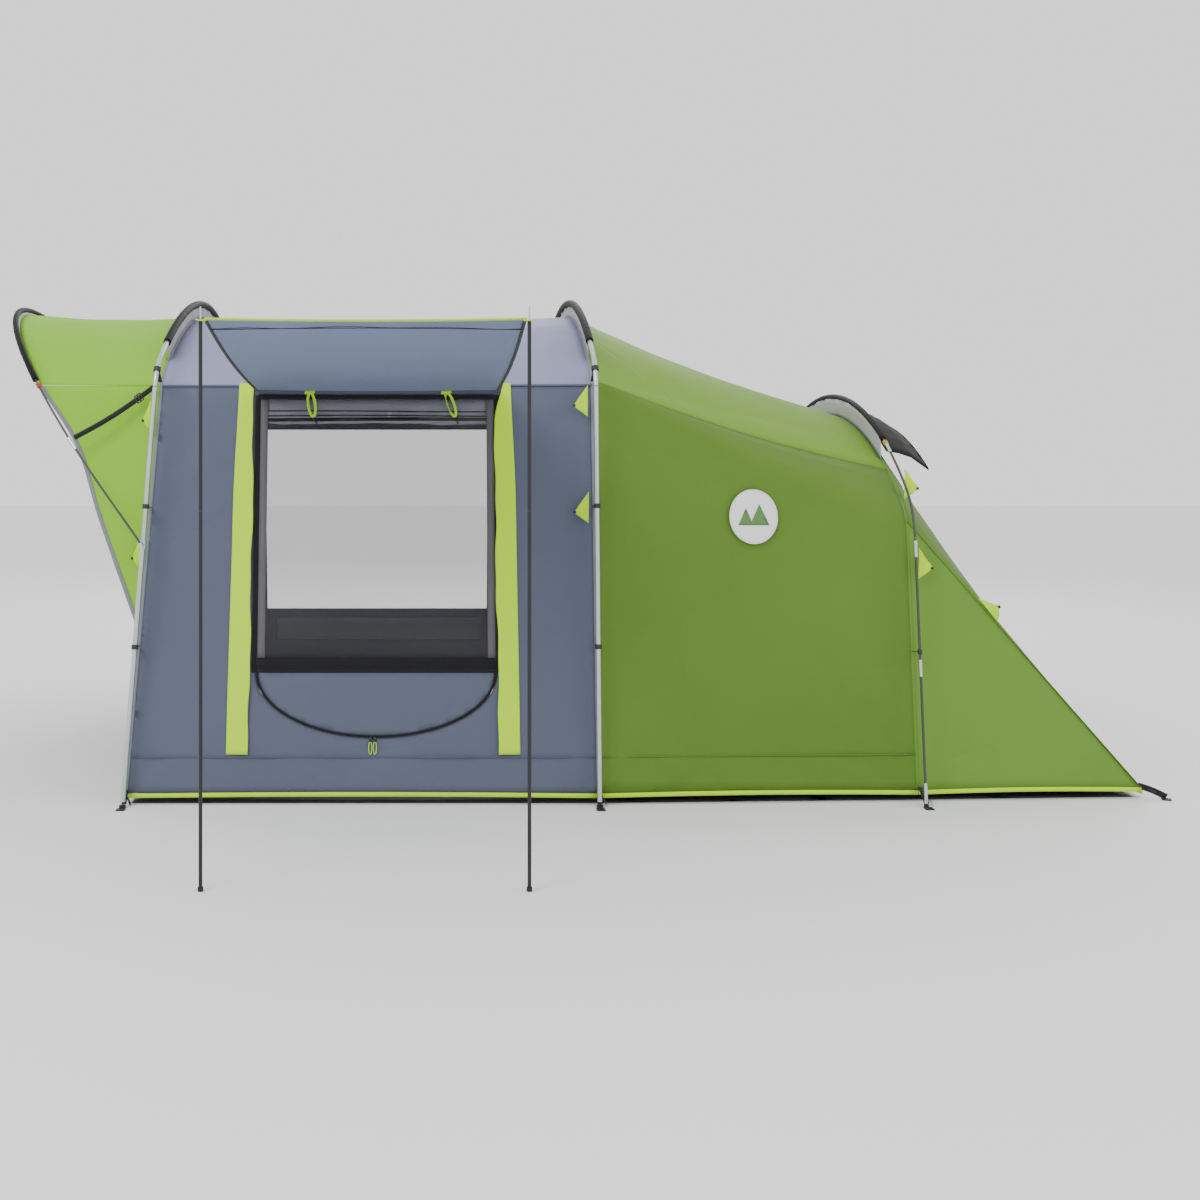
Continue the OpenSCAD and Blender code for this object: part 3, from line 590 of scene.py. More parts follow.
CAD_LOOKS = {
    "steel": ["front_arch_leg_near", "front_arch_leg_far", "front_arch_roof_pole", "mid_arch_leg_near",
              "mid_arch_leg_far", "mid_arch_roof_pole", "hoop_hooks", "hoop_feet", "awning_tips"],
    "rod": ["rear_arch_rods", "hoop_rods"],
    "alloy": ["rear_arch_ferrules", "hoop_ferrules"],
    "black": ["awning_poles"],
    "plastic": ["arch_feet", "pole_clips", "peg_tabs"],
}
for look, names in CAD_LOOKS.items():
    for node_name in names:
        o = frame["nodes"][node_name]
        if not o.material_slots:
            o.data.materials.append(None)
        for s in o.material_slots:
            s.link = "OBJECT"
            s.material = M[look]


# ---------------------------------------------------------------- mesh helpers
def add_object(name, verts, faces, look, uvs):
    me = bpy.data.meshes.new(name)
    me.from_pydata([tuple(v) for v in verts], [], faces)
    me.update()
    layer = me.uv_layers.new(name="UVMap")
    for loop in me.loops:
        layer.data[loop.index].uv = uvs[loop.vertex_index]
    me.polygons.foreach_set("use_smooth", [True] * len(me.polygons))
    me.materials.append(M[look])
    o = bpy.data.objects.new(name, me)
    scene.collection.objects.link(o)
    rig.slot(o, SLOT[look])
    return o


def thicken(o, thick):
    m = o.modifiers.new("thickness", "SOLIDIFY")
    m.thickness, m.offset = thick, 0.0
    m.use_rim = True
    return o


replaced = set()


def settle(o, body, nodes=(), join=None):
    """Puts a finished piece on its body, or blends it between two.

    It stands for the CAD nodes that no earlier piece stands for."""
    if join:
        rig.blend(o, join[0], join[1], start=join[2], end=join[3])
    else:
        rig.ride(o, body)
    fresh = [n for n in nodes if n not in replaced]
    if fresh:
        replaced.update(fresh)
        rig.replaces(o, *fresh)


def run(points):
    """Lengths along a line of points."""
    out = [0.0]
    for a, b in zip(points, points[1:]):
        out.append(out[-1] + (b - a).length)
    return out


def grid(name, rows, look, wave=None, thick=CLOTH):
    """A cloth sheet through rows of points.

    wave(u, v, a, b) is how far it stands out along its normal: u and v are metres, a and b fractions."""
    n, m = len(rows), len(rows[0])
    us = [run([r[j] for r in rows]) for j in range(m)]
    vs = [run(r) for r in rows]
    pts = []
    for i in range(n):
        for j in range(m):
            p = rows[i][j]
            if wave:
                a = rows[min(i + 1, n - 1)][j] - rows[max(i - 1, 0)][j]
                b = rows[i][min(j + 1, m - 1)] - rows[i][max(j - 1, 0)]
                nrm = a.cross(b)
                if nrm.length > 1e-9:
                    p = p + nrm.normalized() * wave(us[j][i], vs[i][j], i / (n - 1), j / (m - 1))
            pts.append(p)
    faces = [(i * m + j, (i + 1) * m + j, (i + 1) * m + j + 1, i * m + j + 1)
             for i in range(n - 1) for j in range(m - 1)]
    uvs = [(vs[i][j], us[j][i]) for i in range(n) for j in range(m)]
    o = add_object(name, pts, faces, look, uvs)
    o["flat"] = (max(v[-1] for v in vs), max(u[-1] for u in us))
    o["area"] = sum(p.area for p in o.data.polygons)
    if thick:
        thicken(o, thick)
    return o


def declare(o, held="stretched", rests_on=(), with_pieces=()):
    w, h = o["flat"]
    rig.sheet(o, flat=(w, h), held=held, area=min(o["area"], w * h), rests_on=rests_on,
             with_pieces=with_pieces)
    del o["flat"], o["area"]


def lay(o, body, nodes=(), join=None, **facts):
    """Declares a cloth sheet and puts it on its body."""
    declare(o, **facts)
    settle(o, body, nodes, join)


def inside(p, loop):
    odd = False
    for a, b in zip(loop, loop[1:] + loop[:1]):
        if (a[1] > p[1]) != (b[1] > p[1]) and p[0] < (b[0] - a[0]) * (p[1] - a[1]) / (b[1] - a[1]) + a[0]:
            odd = not odd
    return odd


def edge_gap(p, loop):
    best = 9.0
    for a, b in zip(loop, loop[1:] + loop[:1]):
        ab = (b[0] - a[0], b[1] - a[1])
        k = ((p[0] - a[0]) * ab[0] + (p[1] - a[1]) * ab[1]) / max(1e-12, ab[0] ** 2 + ab[1] ** 2)
        k = max(0.0, min(1.0, k))
        best = min(best, hypot(p[0] - a[0] - k * ab[0], p[1] - a[1] - k * ab[1]))
    return best


def dense(loop, step):
    out = []
    for a, b in zip(loop, loop[1:] + loop[:1]):
        n = max(1, round(hypot(b[0] - a[0], b[1] - a[1]) / step))
        out += [(lerp(a[0], b[0], k / n), lerp(a[1], b[1], k / n)) for k in range(n)]
    return out


def cut_sheet(name, outline, holes, look, place, wave=None, step=0.03, thick=CLOTH):
    """A flat-cut sheet with holes.

    wave(x, y, gap) is how far a point stands out, place(x, y, out) puts it in space."""
    loops = [dense(loop, step) for loop in [outline] + holes]
    pts, edges = [], []
    for loop in loops:
        k = len(pts)
        pts += loop
        edges += [(k + i, k + (i + 1) % len(loop)) for i in range(len(loop))]
    x0, x1 = min(p[0] for p in outline), max(p[0] for p in outline)
    y0, y1 = min(p[1] for p in outline), max(p[1] for p in outline)
    for i in range(int((y1 - y0) / step) + 1):
        for j in range(int((x1 - x0) / step) + 1):
            p = (x0 + (j + 0.5 * (i % 2)) * step, y0 + i * step)
            if inside(p, outline) and not any(inside(p, h) for h in holes):
                if min(edge_gap(p, loop) for loop in [outline] + holes) > step * 0.45:
                    pts.append(p)
    res = delaunay_2d_cdt([Vector(p) for p in pts], edges, [], 0, 1e-7)
    flat = [tuple(v) for v in res[0]]
    faces = []
    for f in res[2]:
        c = (sum(flat[k][0] for k in f) / 3, sum(flat[k][1] for k in f) / 3)
        if inside(c, outline) and not any(inside(c, h) for h in holes):
            faces.append(f)
    used = sorted({k for f in faces for k in f})
    new = {k: i for i, k in enumerate(used)}
    faces = [tuple(new[k] for k in f) for f in faces]
    verts = []
    for k in used:
        x, y = flat[k]
        gap = min(edge_gap((x, y), loop) for loop in [outline] + holes)
        verts.append(place(x, y, wave(x, y, gap) if wave else 0.0))
    o = add_object(name, verts, faces, look, [flat[k] for k in used])
    o["flat"] = (x1 - x0, y1 - y0)
    o["area"] = sum(p.area for p in o.data.polygons)
    if thick:
        thicken(o, thick)
    return o


def ribbon(name, points, width, across, look, thick=0.0016, lift=0.0):
    """A tape along points. across, or across(i), is the direction of its width."""
    n = len(points)
    verts, uvs = [], []
    length = run(points)
    for i, p in enumerate(points):
        t = (points[min(i + 1, n - 1)] - points[max(i - 1, 0)]).normalized()
        a = across(i) if callable(across) else across
        a = (a - a.dot(t) * t).normalized()
        nrm = t.cross(a)
        for side in (0, 1):
            verts.append(p + a * width * (side - 0.5) + nrm * lift)
            uvs.append((length[i], side))
    faces = [(2 * i, 2 * i + 2, 2 * i + 3, 2 * i + 1) for i in range(n - 1)]
    return thicken(add_object(name, verts, faces, look, uvs), thick)


def tube(name, points, radius, look, seg=14, squash=1.0):
    """A swept tube. radius(k, w) is its radius a fraction k along it, at angle w round it."""
    n = len(points)
    verts, uvs, faces = [], [], []
    length = run(points)
    side = Z_AXIS
    for i, p in enumerate(points):
        t = (points[min(i + 1, n - 1)] - points[max(i - 1, 0)]).normalized()
        if abs(side.dot(t)) > 0.95:
            side = X_AXIS
        a = (side - side.dot(t) * t).normalized()
        side = a
        b = t.cross(a)
        for k in range(seg):
            w = 2 * pi * k / seg
            r = radius(i / (n - 1), w) if callable(radius) else radius
            verts.append(p + a * cos(w) * r + b * sin(w) * r * squash)
            uvs.append((length[i], w * 0.01))
    for i in range(n - 1):
        for k in range(seg):
            k1 = (k + 1) % seg
            faces.append((i * seg + k, (i + 1) * seg + k, (i + 1) * seg + k1, i * seg + k1))
    faces += [tuple(range(seg)), tuple(range((n - 1) * seg, n * seg))[::-1]]
    return add_object(name, verts, faces, look, uvs)


def ripple(x, y, seed, size=0.35, depth=0.004):
    """Gentle unevenness of taut cloth."""
    p = vec(x / size, y / size, seed * 7.31)
    return depth * (noise.noise(p) + 0.5 * noise.noise(p * 2.3))


def pulls(x, y, anchors, depth=0.006, reach=0.40, rays=9):
    """Tension folds that fan out from anchor points (x, y)."""
    out = 0.0
    for k, (ax, ay) in enumerate(anchors):
        d = hypot(x - ax, y - ay)
        a = atan2(y - ay, x - ax)
        out += depth * exp(-d / reach) * min(1.0, d / 0.22) * cos(rays * a + 1.7 * k)
    return out


def steps(a, b, n):
    return [a + (b - a) * k / n for k in range(n + 1)]


def sag_row(p, e, m, s):
    return [lerp(p, e, j / m) - vec(0, 0, s * sin(pi * j / m)) for j in range(m + 1)]


def edge_mask(a, b, w=0.08):
    return ease(min(a, 1 - a) / w) * ease(min(b, 1 - b) / w)


# ---------------------------------------------------------------- living area cloth
Q_ROOF = steps(1, 2, 6)[:-1] + steps(2, 4, 72) + steps(4, 5, 6)[1:]


def living_roof():
    rows = []
    for q in Q_ROOF:
        w = ease(min(q - 1, 5 - q) / 0.9)
        rows.append(sag_row(in_front(BODY.at(q), 0.006), in_plane(BODY.at(q), MID_X - 0.002), 48, 0.022 * w))

    def wave(u, v, a, b):
        m = edge_mask(a, b, 0.06)
        return m * (ripple(u, v, 1, 0.5, 0.005) + 0.003 * sin(9 * pi * a) * exp(-3 * min(b, 1 - b)))

    o = grid("living_roof_cloth", rows, "roof_grey", wave)
    lay(o, "shelter", ["living_roof"], rests_on=["front_arch_roof_pole", "mid_arch_roof_pole"])


def up(z):
    return z / cos(WALL_LEAN)


WALL_TOP = BODY.at(1).y


def wall_place(sign):
    def place(x, v, out):
        p = near_wall(x, v * cos(WALL_LEAN), out - 0.0015)
        return p if sign < 0 else flip(p)
    return place


def wall_loop(x1):
    return [(front_edge(HEM) + 0.006, up(HEM)), (x1, up(HEM)), (x1, up(WALL_TOP)),
            (front_edge(WALL_TOP) + 0.006, up(WALL_TOP))]


def door_bowl(inset, sill):
    """Half an ellipse below the sill, from the door's front edge to its rear edge."""
    a, b = (DOOR_X1 - DOOR_X0) / 2 - inset, up(sill) - up(DOOR_LOW) - inset
    return [(DOOR_MID - a * cos(t), up(sill) - b * sin(t)) for t in steps(0, pi, 48)]


def door_loop(inset):
    top = up(DOOR_TOP) - inset
    return [(DOOR_X0 + inset, top), *door_bowl(inset, SILL), (DOOR_X1 - inset, top)][::-1]


def wall_wave(seed, anchors):
    def wave(x, y, gap):
        beside_flap = min(abs(x - mid) - half for mid, half in (FLAP_FRONT, FLAP_REAR))
        m = ease(gap / 0.10) * ease(max(0.0, beside_flap) / 0.06)
        hang = 0.004 * sin(17 * x + 2.0 * noise.noise(vec(x * 2, 0, seed))) * exp(-(y - up(HEM)) / 0.3)
        return m * (ripple(x, y, seed, 0.42, 0.005) + pulls(x, y, anchors) + hang)
    return wave


CORNERS = [(FRONT_X, 0), (MID_X, 0), (FRONT_X + 0.1, 1.65), (MID_X, 1.65), (FRONT_X + 0.05, 1.15),
           (MID_X, 1.15)]


def living_walls():
    near = cut_sheet("living_wall_cloth", wall_loop(MID_X - 0.002), [door_loop(0)], "grey",
                     wall_place(-1), wall_wave(3, CORNERS))
    lay(near, "shelter", ["living_wall_near"])
    (x0, x1), (z0, z1) = WINDOW_X, WINDOW_Z
    window = [(x0, up(z0)), (x1, up(z0)), (x1, up(z1)), (x0, up(z1))]
    far = cut_sheet("living_wall_far_cloth", wall_loop(MID_X - 0.002), [window], "grey",
                    wall_place(1), wall_wave(4, CORNERS), step=0.04)
    lay(far, "shelter", ["living_wall_far"])
    pane = cut_sheet("far_window_film", window, [], "film", wall_place(1),
                     lambda x, y, gap: ease(gap / 0.1) * ripple(x, y, 5, 0.3, 0.006), step=0.05, thick=FILM)
    lay(pane, "shelter", ["far_window"])
    pocket = [(-1.70, up(0.32)), (-0.56, up(0.32)), (-0.56, up(0.44)), (-1.70, up(0.44))]
    p = cut_sheet("window_cover_rolled", pocket, [], "inner",
                  lambda x, y, out: flip(near_wall(x, y * 0.992, -0.02 + out)),
                  lambda x, y, gap: 0.010 * sin(70 * y) + ripple(x, y, 6, 0.2, 0.006), step=0.03)
    lay(p, "shelter", held="hung")


def front_panels():
    def place(x, y, out):
        return in_front(vec(x, y), 0.0015 - out)

    def wave(x, y, gap):
        return ease(gap / 0.1) * (ripple(x, y, 8, 0.4, 0.005) + pulls(x, y,
                [(1.25, 0), (-1.25, 0), (1.05, 1.6), (-1.05, 1.6)]))

    q0 = BODY.leg(HEM)
    outline = [tuple(BODY.at(q)) for q in steps(q0, 6 - q0, 72)]

    def door(inset):
        r, side, low = 0.260 - inset, 0.700 - inset, 0.210 + inset
        arc = []
        for cx, a0, a1 in ((0.440, 0, pi / 2), (-0.440, pi / 2, pi)):
            arc += [(cx + r * cos(t), 1.500 + r * sin(t)) for t in steps(a0, a1, 12)]
        return [(-side, low), (side, low)] + arc

    wall = cut_sheet("front_wall_cloth", outline, [door(0)], "grey", place, wave, step=0.045)
    lay(wall, "shelter", ["front_wall"])
    panel = cut_sheet("front_door_cloth", door(0.005), [], "grey", place, wave, step=0.045)
    lay(panel, "front_door", ["front_door"])
    for inset, body, tag in ((-0.012, "shelter", "frame"), (0.018, "front_door", "leaf")):
        loop = [in_front(Vector(p), -0.002) for p in dense(door(inset), 0.03)]
        loop.append(loop[0])
        centre = in_front(vec(0, 1.0), 0)
        z = ribbon("front_door_zip_" + tag, loop, 0.020, lambda i: loop[i] - centre, "dark_tape")
        settle(z, body)


living_roof()
living_walls()
front_panels()


# ---------------------------------------------------------------- bedroom and tail cloth
REAR_EAVE_Q = 2.19


def rear_q(q):
    """The place on the rear arch that the cloth runs to from place q of the middle arch."""
    if q > 3:
        return 6 - rear_q(6 - q)
    if q <= 1:
        return q
    return lerp(1, REAR_EAVE_Q, 2 * (q - 1)) if q <= 1.5 else lerp(REAR_EAVE_Q, 3, (q - 1.5) / 1.5)


def bed_row(q, z, n, sag, a=BODY, b=REAR, x0=MID_X + 0.002, x1=REAR_X - 0.002):
    rq = rear_q(q) if b is REAR else q
    return sag_row(in_plane(a.at(a.height(z, q)), x0), in_plane(b.at(b.height(z, rq)), x1), n, sag)


def bed_sag(q):
    return 0.030 * max(0.0, min(1.0, 2 * (min(q, 6 - q) - 1)))


def soft(seed, size=0.45, depth=0.005, edge=0.06, anchors=()):
    def wave(u, v, a, b):
        return edge_mask(a, b, edge) * (ripple(u, v, seed, size, depth) + pulls(v, u, anchors))
    return wave


def bedroom():
    for tag, sign, _ in SIDES:
        rows = [bed_row(q, HEM, 44, bed_sag(q)) for q in steps(0, 1, 32)[:-1] + steps(1, 1.5, 14)]
        rows = on_side(rows, sign)
        o = grid("bedroom_wall_" + tag + "_cloth", rows, "wall",
                 soft(11 + sign, 0.5, 0.006, 0.05, [(0, 0), (1.23, 0), (0, 1.6), (1.23, 1.3)]))
        lay(o, "shelter", ["bedroom_wall_" + tag])
    rows = []
    for q in steps(1.5, 2, 5)[:-1] + steps(2, 4, 64) + steps(4, 4.5, 5)[1:]:
        rows.append(bed_row(q, HEM, 44, bed_sag(q)))
    o = grid("bedroom_roof_cloth", rows, "roof", soft(14, 0.5, 0.007, 0.05))
    lay(o, "shelter", ["bedroom_roof"], rests_on=["mid_arch_roof_pole", "rear_arch_rods"])


SEAM_Q = 1.4


def tail_line(arch, tx, tw, v):
    return lerp(vec(tx, tw, HEM), in_plane(arch.at(SEAM_Q), REAR_X + 0.003), v)


def tail_side_rows(arch, tx, tw, n, m):
    rows = []
    for v in steps(0, 0.985, n):
        q = lerp(arch.leg(HEM), SEAM_Q, v)
        p, e = in_plane(arch.at(q), REAR_X + 0.003), tail_line(arch, tx, tw, v)
        rows.append([lerp(p, e, j / m) for j in range(m + 1)])
    return rows


def tail_wall_rows(arch, tx, tw, n, m):
    rows, ts = [], arch.at(SEAM_Q).x
    for q in steps(SEAM_Q, 6 - SEAM_Q, n):
        p = in_plane(arch.at(q), REAR_X + 0.003)
        e = vec(tx, tw * arch.at(q).x / ts, HEM)
        rows.append([lerp(p, e, j / m) for j in range(m + 1)])
    return rows


def tail():
    for tag, sign, _ in SIDES:
        rows = tail_side_rows(REAR, TAIL_X, TAIL_W, 34, 24)
        rows = on_side(rows, sign)
        o = grid("rear_side_" + tag + "_cloth", rows, "tail", soft(21 + sign, 0.4, 0.005, 0.10))
        lay(o, "shelter", ["rear_side_" + tag])

    def wave(u, v, a, b):
        m = edge_mask(a, b, 0.05)
        return m * (ripple(u, v, 24, 0.5, 0.007) - 0.020 * sin(pi * a) * sin(pi * b))

    o = grid("rear_wall_cloth", tail_wall_rows(REAR, TAIL_X, TAIL_W, 60, 44), "wall", wave)
    lay(o, "shelter", ["rear_wall"])


def hood():
    rows = []
    for q in steps(2.26, 3.74, 48):
        p = HOOD.at(q)
        k = 1 - 0.08 * abs(q - 3)
        line = [in_plane(p, REAR_X + 0.012), in_plane(p - vec(0, 0.007), REAR_X + 0.012 + 0.055 * k),
                in_plane(p - vec(0, 0.024), REAR_X + 0.012 + 0.112 * k),
                in_plane(p - vec(0, 0.074), REAR_X + 0.012 + 0.188 * k)]
        rows.append([line[0]] + [lerp(line[i], line[i + 1], (j + 1) / 4) for i in range(3) for j in range(4)])
    o = grid("vent_hood_cloth", rows, "hood", lambda u, v, a, b: 0.003 * b * sin(60 * u), thick=0.002)
    lay(o, "shelter", ["vent_hood"])
    edge = [r[-1] for r in rows]
    b = ribbon("vent_hood_binding", edge, 0.012, vec(0.4, 0, -1), "dark_tape", thick=0.003)
    settle(b, "shelter")
    ts = REAR.at(SEAM_Q).x
    mesh_rows = []
    for q in steps(2.45, 3.55, 30):
        p = in_plane(REAR.at(q), REAR_X + 0.003)
        e = vec(TAIL_X, TAIL_W * REAR.at(q).x / ts, HEM)
        off = vec(0.006, 0, 0.004)
        mesh_rows.append([lerp(p, e, t) + off for t in steps(0.03, 0.16, 6)])
    o = grid("vent_mesh_cloth", mesh_rows, "dark_mesh", thick=FINE)
    lay(o, "shelter", ["vent_mesh"])


bedroom()
tail()
hood()


# ---------------------------------------------------------------- canopy
HOOP_EAVE_Q = 2.32


def hoop_q(q):
    """The place on the hoop that the canopy runs to from place q of the front arch."""
    if q > 3:
        return 6 - hoop_q(6 - q)
    return lerp(HOOP_EAVE_Q, 2.42, q - 1) if q <= 2 else lerp(2.42, 3, q - 2)


def canopy():
    rows = []
    for q in Q_ROOF:
        w = ease(min(q - 1, 5 - q) / 0.8)
        rows.append(sag_row(in_hoop(HOOP_CLOTH.at(hoop_q(q))), in_front(BODY.at(q), -0.004), 26, 0.016 * w))
    o = grid("canopy_cloth", rows, "canopy", soft(31, 0.4, 0.005, 0.06))
    declare(o, rests_on=["hoop_rods", "front_arch_roof_pole"])
    span = (vec(-1.97, 0, 1.8), vec(-2.42, 0, 1.8))
    settle(o, None, ["canopy_roof"], ("shelter", "canopy_hoop", *span))
    eave = in_hoop(HOOP_CLOTH.at(HOOP_EAVE_Q)) - vec(0, 0, 0.002)
    edge = [vec(FRONT_X + 0.034, 1.172, 0.680), vec(-2.158, 1.118, 1.091),
            vec(-2.268, 1.042, 1.386), eave]

    def free_edge(v):
        """Smooth curve through the edge points."""
        k = min(int(v * 3), 2)
        t = v * 3 - k
        p = [edge[max(k - 1, 0)], edge[k], edge[k + 1], edge[min(k + 2, 3)]]
        return 0.5 * ((2 * p[1]) + (p[2] - p[0]) * t + (2 * p[0] - 5 * p[1] + 4 * p[2] - p[3]) * t * t
                      + (3 * p[1] - p[0] - 3 * p[2] + p[3]) * t ** 3)

    for tag, sign, _ in SIDES:
        rows = []
        for v in steps(0.02, 1, 36):
            back = in_front(BODY.at(lerp(BODY.leg(0.684), 1, v)), -0.004)
            rows.append([lerp(free_edge(v), back, j / 16) for j in range(17)])
        rows = on_side(rows, sign)
        o = grid("canopy_wing_" + tag + "_cloth", rows, "canopy", soft(33 + sign, 0.25, 0.004, 0.10))
        declare(o)
        wing_span = (vec(-1.99, 0, 1.2), vec(-2.45, 0, 1.2))
        settle(o, None, ["canopy_wing_" + tag], ("shelter", "canopy_hoop", *wing_span))
        line = [r[0] for r in rows]
        b = ribbon("canopy_wing_" + tag + "_binding", line, 0.016, vec(1, 0, 0.2), "grey_tape", 0.004)
        settle(b, None, (), ("shelter", "canopy_hoop", *wing_span))
    fin = [[in_hoop(HOOP_CLOTH.at(q), 0.001), in_hoop(HOOP_CLOTH.at(q), 0.017)]
           for q in steps(2.34, 3.66, 60)]
    f = grid("hoop_fin_mesh", fin, "fin", thick=FINE)
    lay(f, "canopy_hoop")


canopy()


# ---------------------------------------------------------------- sleeves and fins
def sleeve(name, arch, start, place, r, body, seed):
    """A cloth sleeve over an arch, from start degrees round its roof arc over to the other side."""
    q0 = q_of_angle(arch, start)
    path = [place(arch.at(q)) for q in steps(q0, 6 - q0, 160)]

    def radius(k, w):
        flutter = 0.0010 * noise.noise(vec(k * 90, 2 * cos(w), 2 * sin(w) + seed))
        return r * (1 + 0.04 * sin(k * 300 + 3 * cos(w))) + flutter

    settle(tube(name + "_cloth", path, radius, "sleeve", 16), body, [name])


def q_of_angle(arch, deg):
    return 2 + (radians(deg) - arch.a1) / (pi / 2 - arch.a1)


def sleeves():
    def at_mid(p):
        return in_plane(p, MID_X)

    sleeve("front_arch_sleeve", STEEL, 61.8, in_front, 0.0155, "shelter", 1)
    sleeve("mid_arch_sleeve", STEEL, 61.8, at_mid, 0.0155, "shelter", 2)
    sleeve("rear_arch_sleeve", REAR_ROD, 60.5, lambda p: in_plane(p, REAR_X), 0.0115, "shelter", 3)
    sleeve("hoop_sleeve", HOOP, 38.6, in_hoop, 0.0125, "canopy_hoop", 4)
    for name, arch, cloth, place, lim in (
            ("front_arch_fin", STEEL, BODY, in_front, 0.93),
            ("mid_arch_fin", STEEL, BODY, at_mid, 0.93),
            ("rear_arch_fin", REAR_ROD, REAR, lambda p: in_plane(p, REAR_X - 0.006), 0.78)):
        rows = []
        for y in steps(lim, -lim, 70):
            zt = arch.c.y + sqrt((arch.r - 0.010) ** 2 - y * y)
            zb = cloth.c.y + sqrt((cloth.r + 0.001) ** 2 - y * y)
            rows.append([place(vec(y, lerp(zb, zt, t))) for t in steps(0, 1, 4)])
        f = grid(name + "_mesh", rows, "fin", lambda u, v, a, b: 0.003 * sin(40 * u) * b, thick=FINE)
        lay(f, "shelter", [name])


sleeves()


# ---------------------------------------------------------------- awning
def awning_point(x, s, out=0.0):
    """x along the door, s away from the hinge, out above the cloth."""
    y, z = s * cos(AWNING_RISE), s * sin(AWNING_RISE)
    return vec(x, HINGE_Y - y + out * sin(AWNING_RISE), HINGE_Z + z + out * cos(AWNING_RISE))


def awning_half(s):
    return lerp(HINGE_HALF, OUTER_HALF, s / AWNING_LEN) + 0.008 * sin(pi * s / AWNING_LEN)


def awning_dip(k, s):
    """How far the cloth hangs below the plane through its hinge and pole tips."""
    along = sin(pi * s / AWNING_LEN)
    return 0.012 * along + 0.012 * sin(pi * k) * (0.4 + 0.6 * along)


def awning():
    rows = []
    for s in steps(0.004, AWNING_LEN - 0.012, 56):
        h = awning_half(s) - 0.005
        line = []
        for j in range(49):
            k = j / 48
            line.append(awning_point(lerp(DOOR_MID - h, DOOR_MID + h, k), s, 0.0015 - awning_dip(k, s)))
        rows.append(line)

    def wave(u, v, a, b):
        fold = 0.004 * sin(26 * b + 5 * a) * exp(-3.5 * a) + 0.0035 * sin(19 * b) * exp(-4 * (1 - a))
        return edge_mask(a, b, 0.05) * (ripple(u, v, 41, 0.3, 0.004) + fold)

    o = grid("awning_cloth", rows, "awning", wave)
    lay(o, "awning", ["awning_panel"], rests_on=["awning_tips"])
    outer = rows[-1]
    edges = {"front": [r[0] for r in rows], "rear": [r[-1] for r in rows], "outer": outer}
    for tag, line in edges.items():
        across = vec(0, -1, 0.13) if tag == "outer" else X_AXIS
        wide, look = (0.022, "lime_tape") if tag == "outer" else (0.011, "dark_tape")
        b = ribbon("awning_binding_" + tag, line, wide, across, look, 0.0035)
        settle(b, "awning", ["awning_binding"])
    seam_s = AWNING_LEN - 0.115
    line = []
    for j in range(49):
        k = j / 48
        h = awning_half(seam_s) - 0.005
        s = seam_s + 0.045 * sin(pi * k) - 0.02
        line.append(awning_point(lerp(DOOR_MID - h, DOOR_MID + h, k), s, -0.0015 - awning_dip(k, s)))
    settle(ribbon("awning_seam", line, 0.009, Y_AXIS, "dark_tape", 0.0015), "awning")
    root = [[near_wall(x, DOOR_TOP + 0.030, 0.0015), near_wall(x, DOOR_TOP + 0.026, 0.009),
             vec(x, HINGE_Y, HINGE_Z)] for x in steps(DOOR_X0 - 0.014, DOOR_X1 + 0.014, 40)]
    r = grid("awning_hinge_cloth", root, "grey", thick=0.0015)
    lay(r, "shelter")
    pole_y = HINGE_Y - (AWNING_LEN - 0.008) * cos(AWNING_RISE)
    for tag, s in (("front", -1), ("rear", 1)):
        x = DOOR_MID + s * POLE_SIDE
        tab = []
        for k in steps(0, 1, 8):
            tab.append(vec(x + s * 0.014 - s * 0.034 * k, pole_y, TAB_Z - 0.004 * sin(pi * k)))
        t = ribbon("awning_tab_" + tag, tab, 0.034, Y_AXIS, "lime_tape", 0.003)
        settle(t, "shelter")


awning()


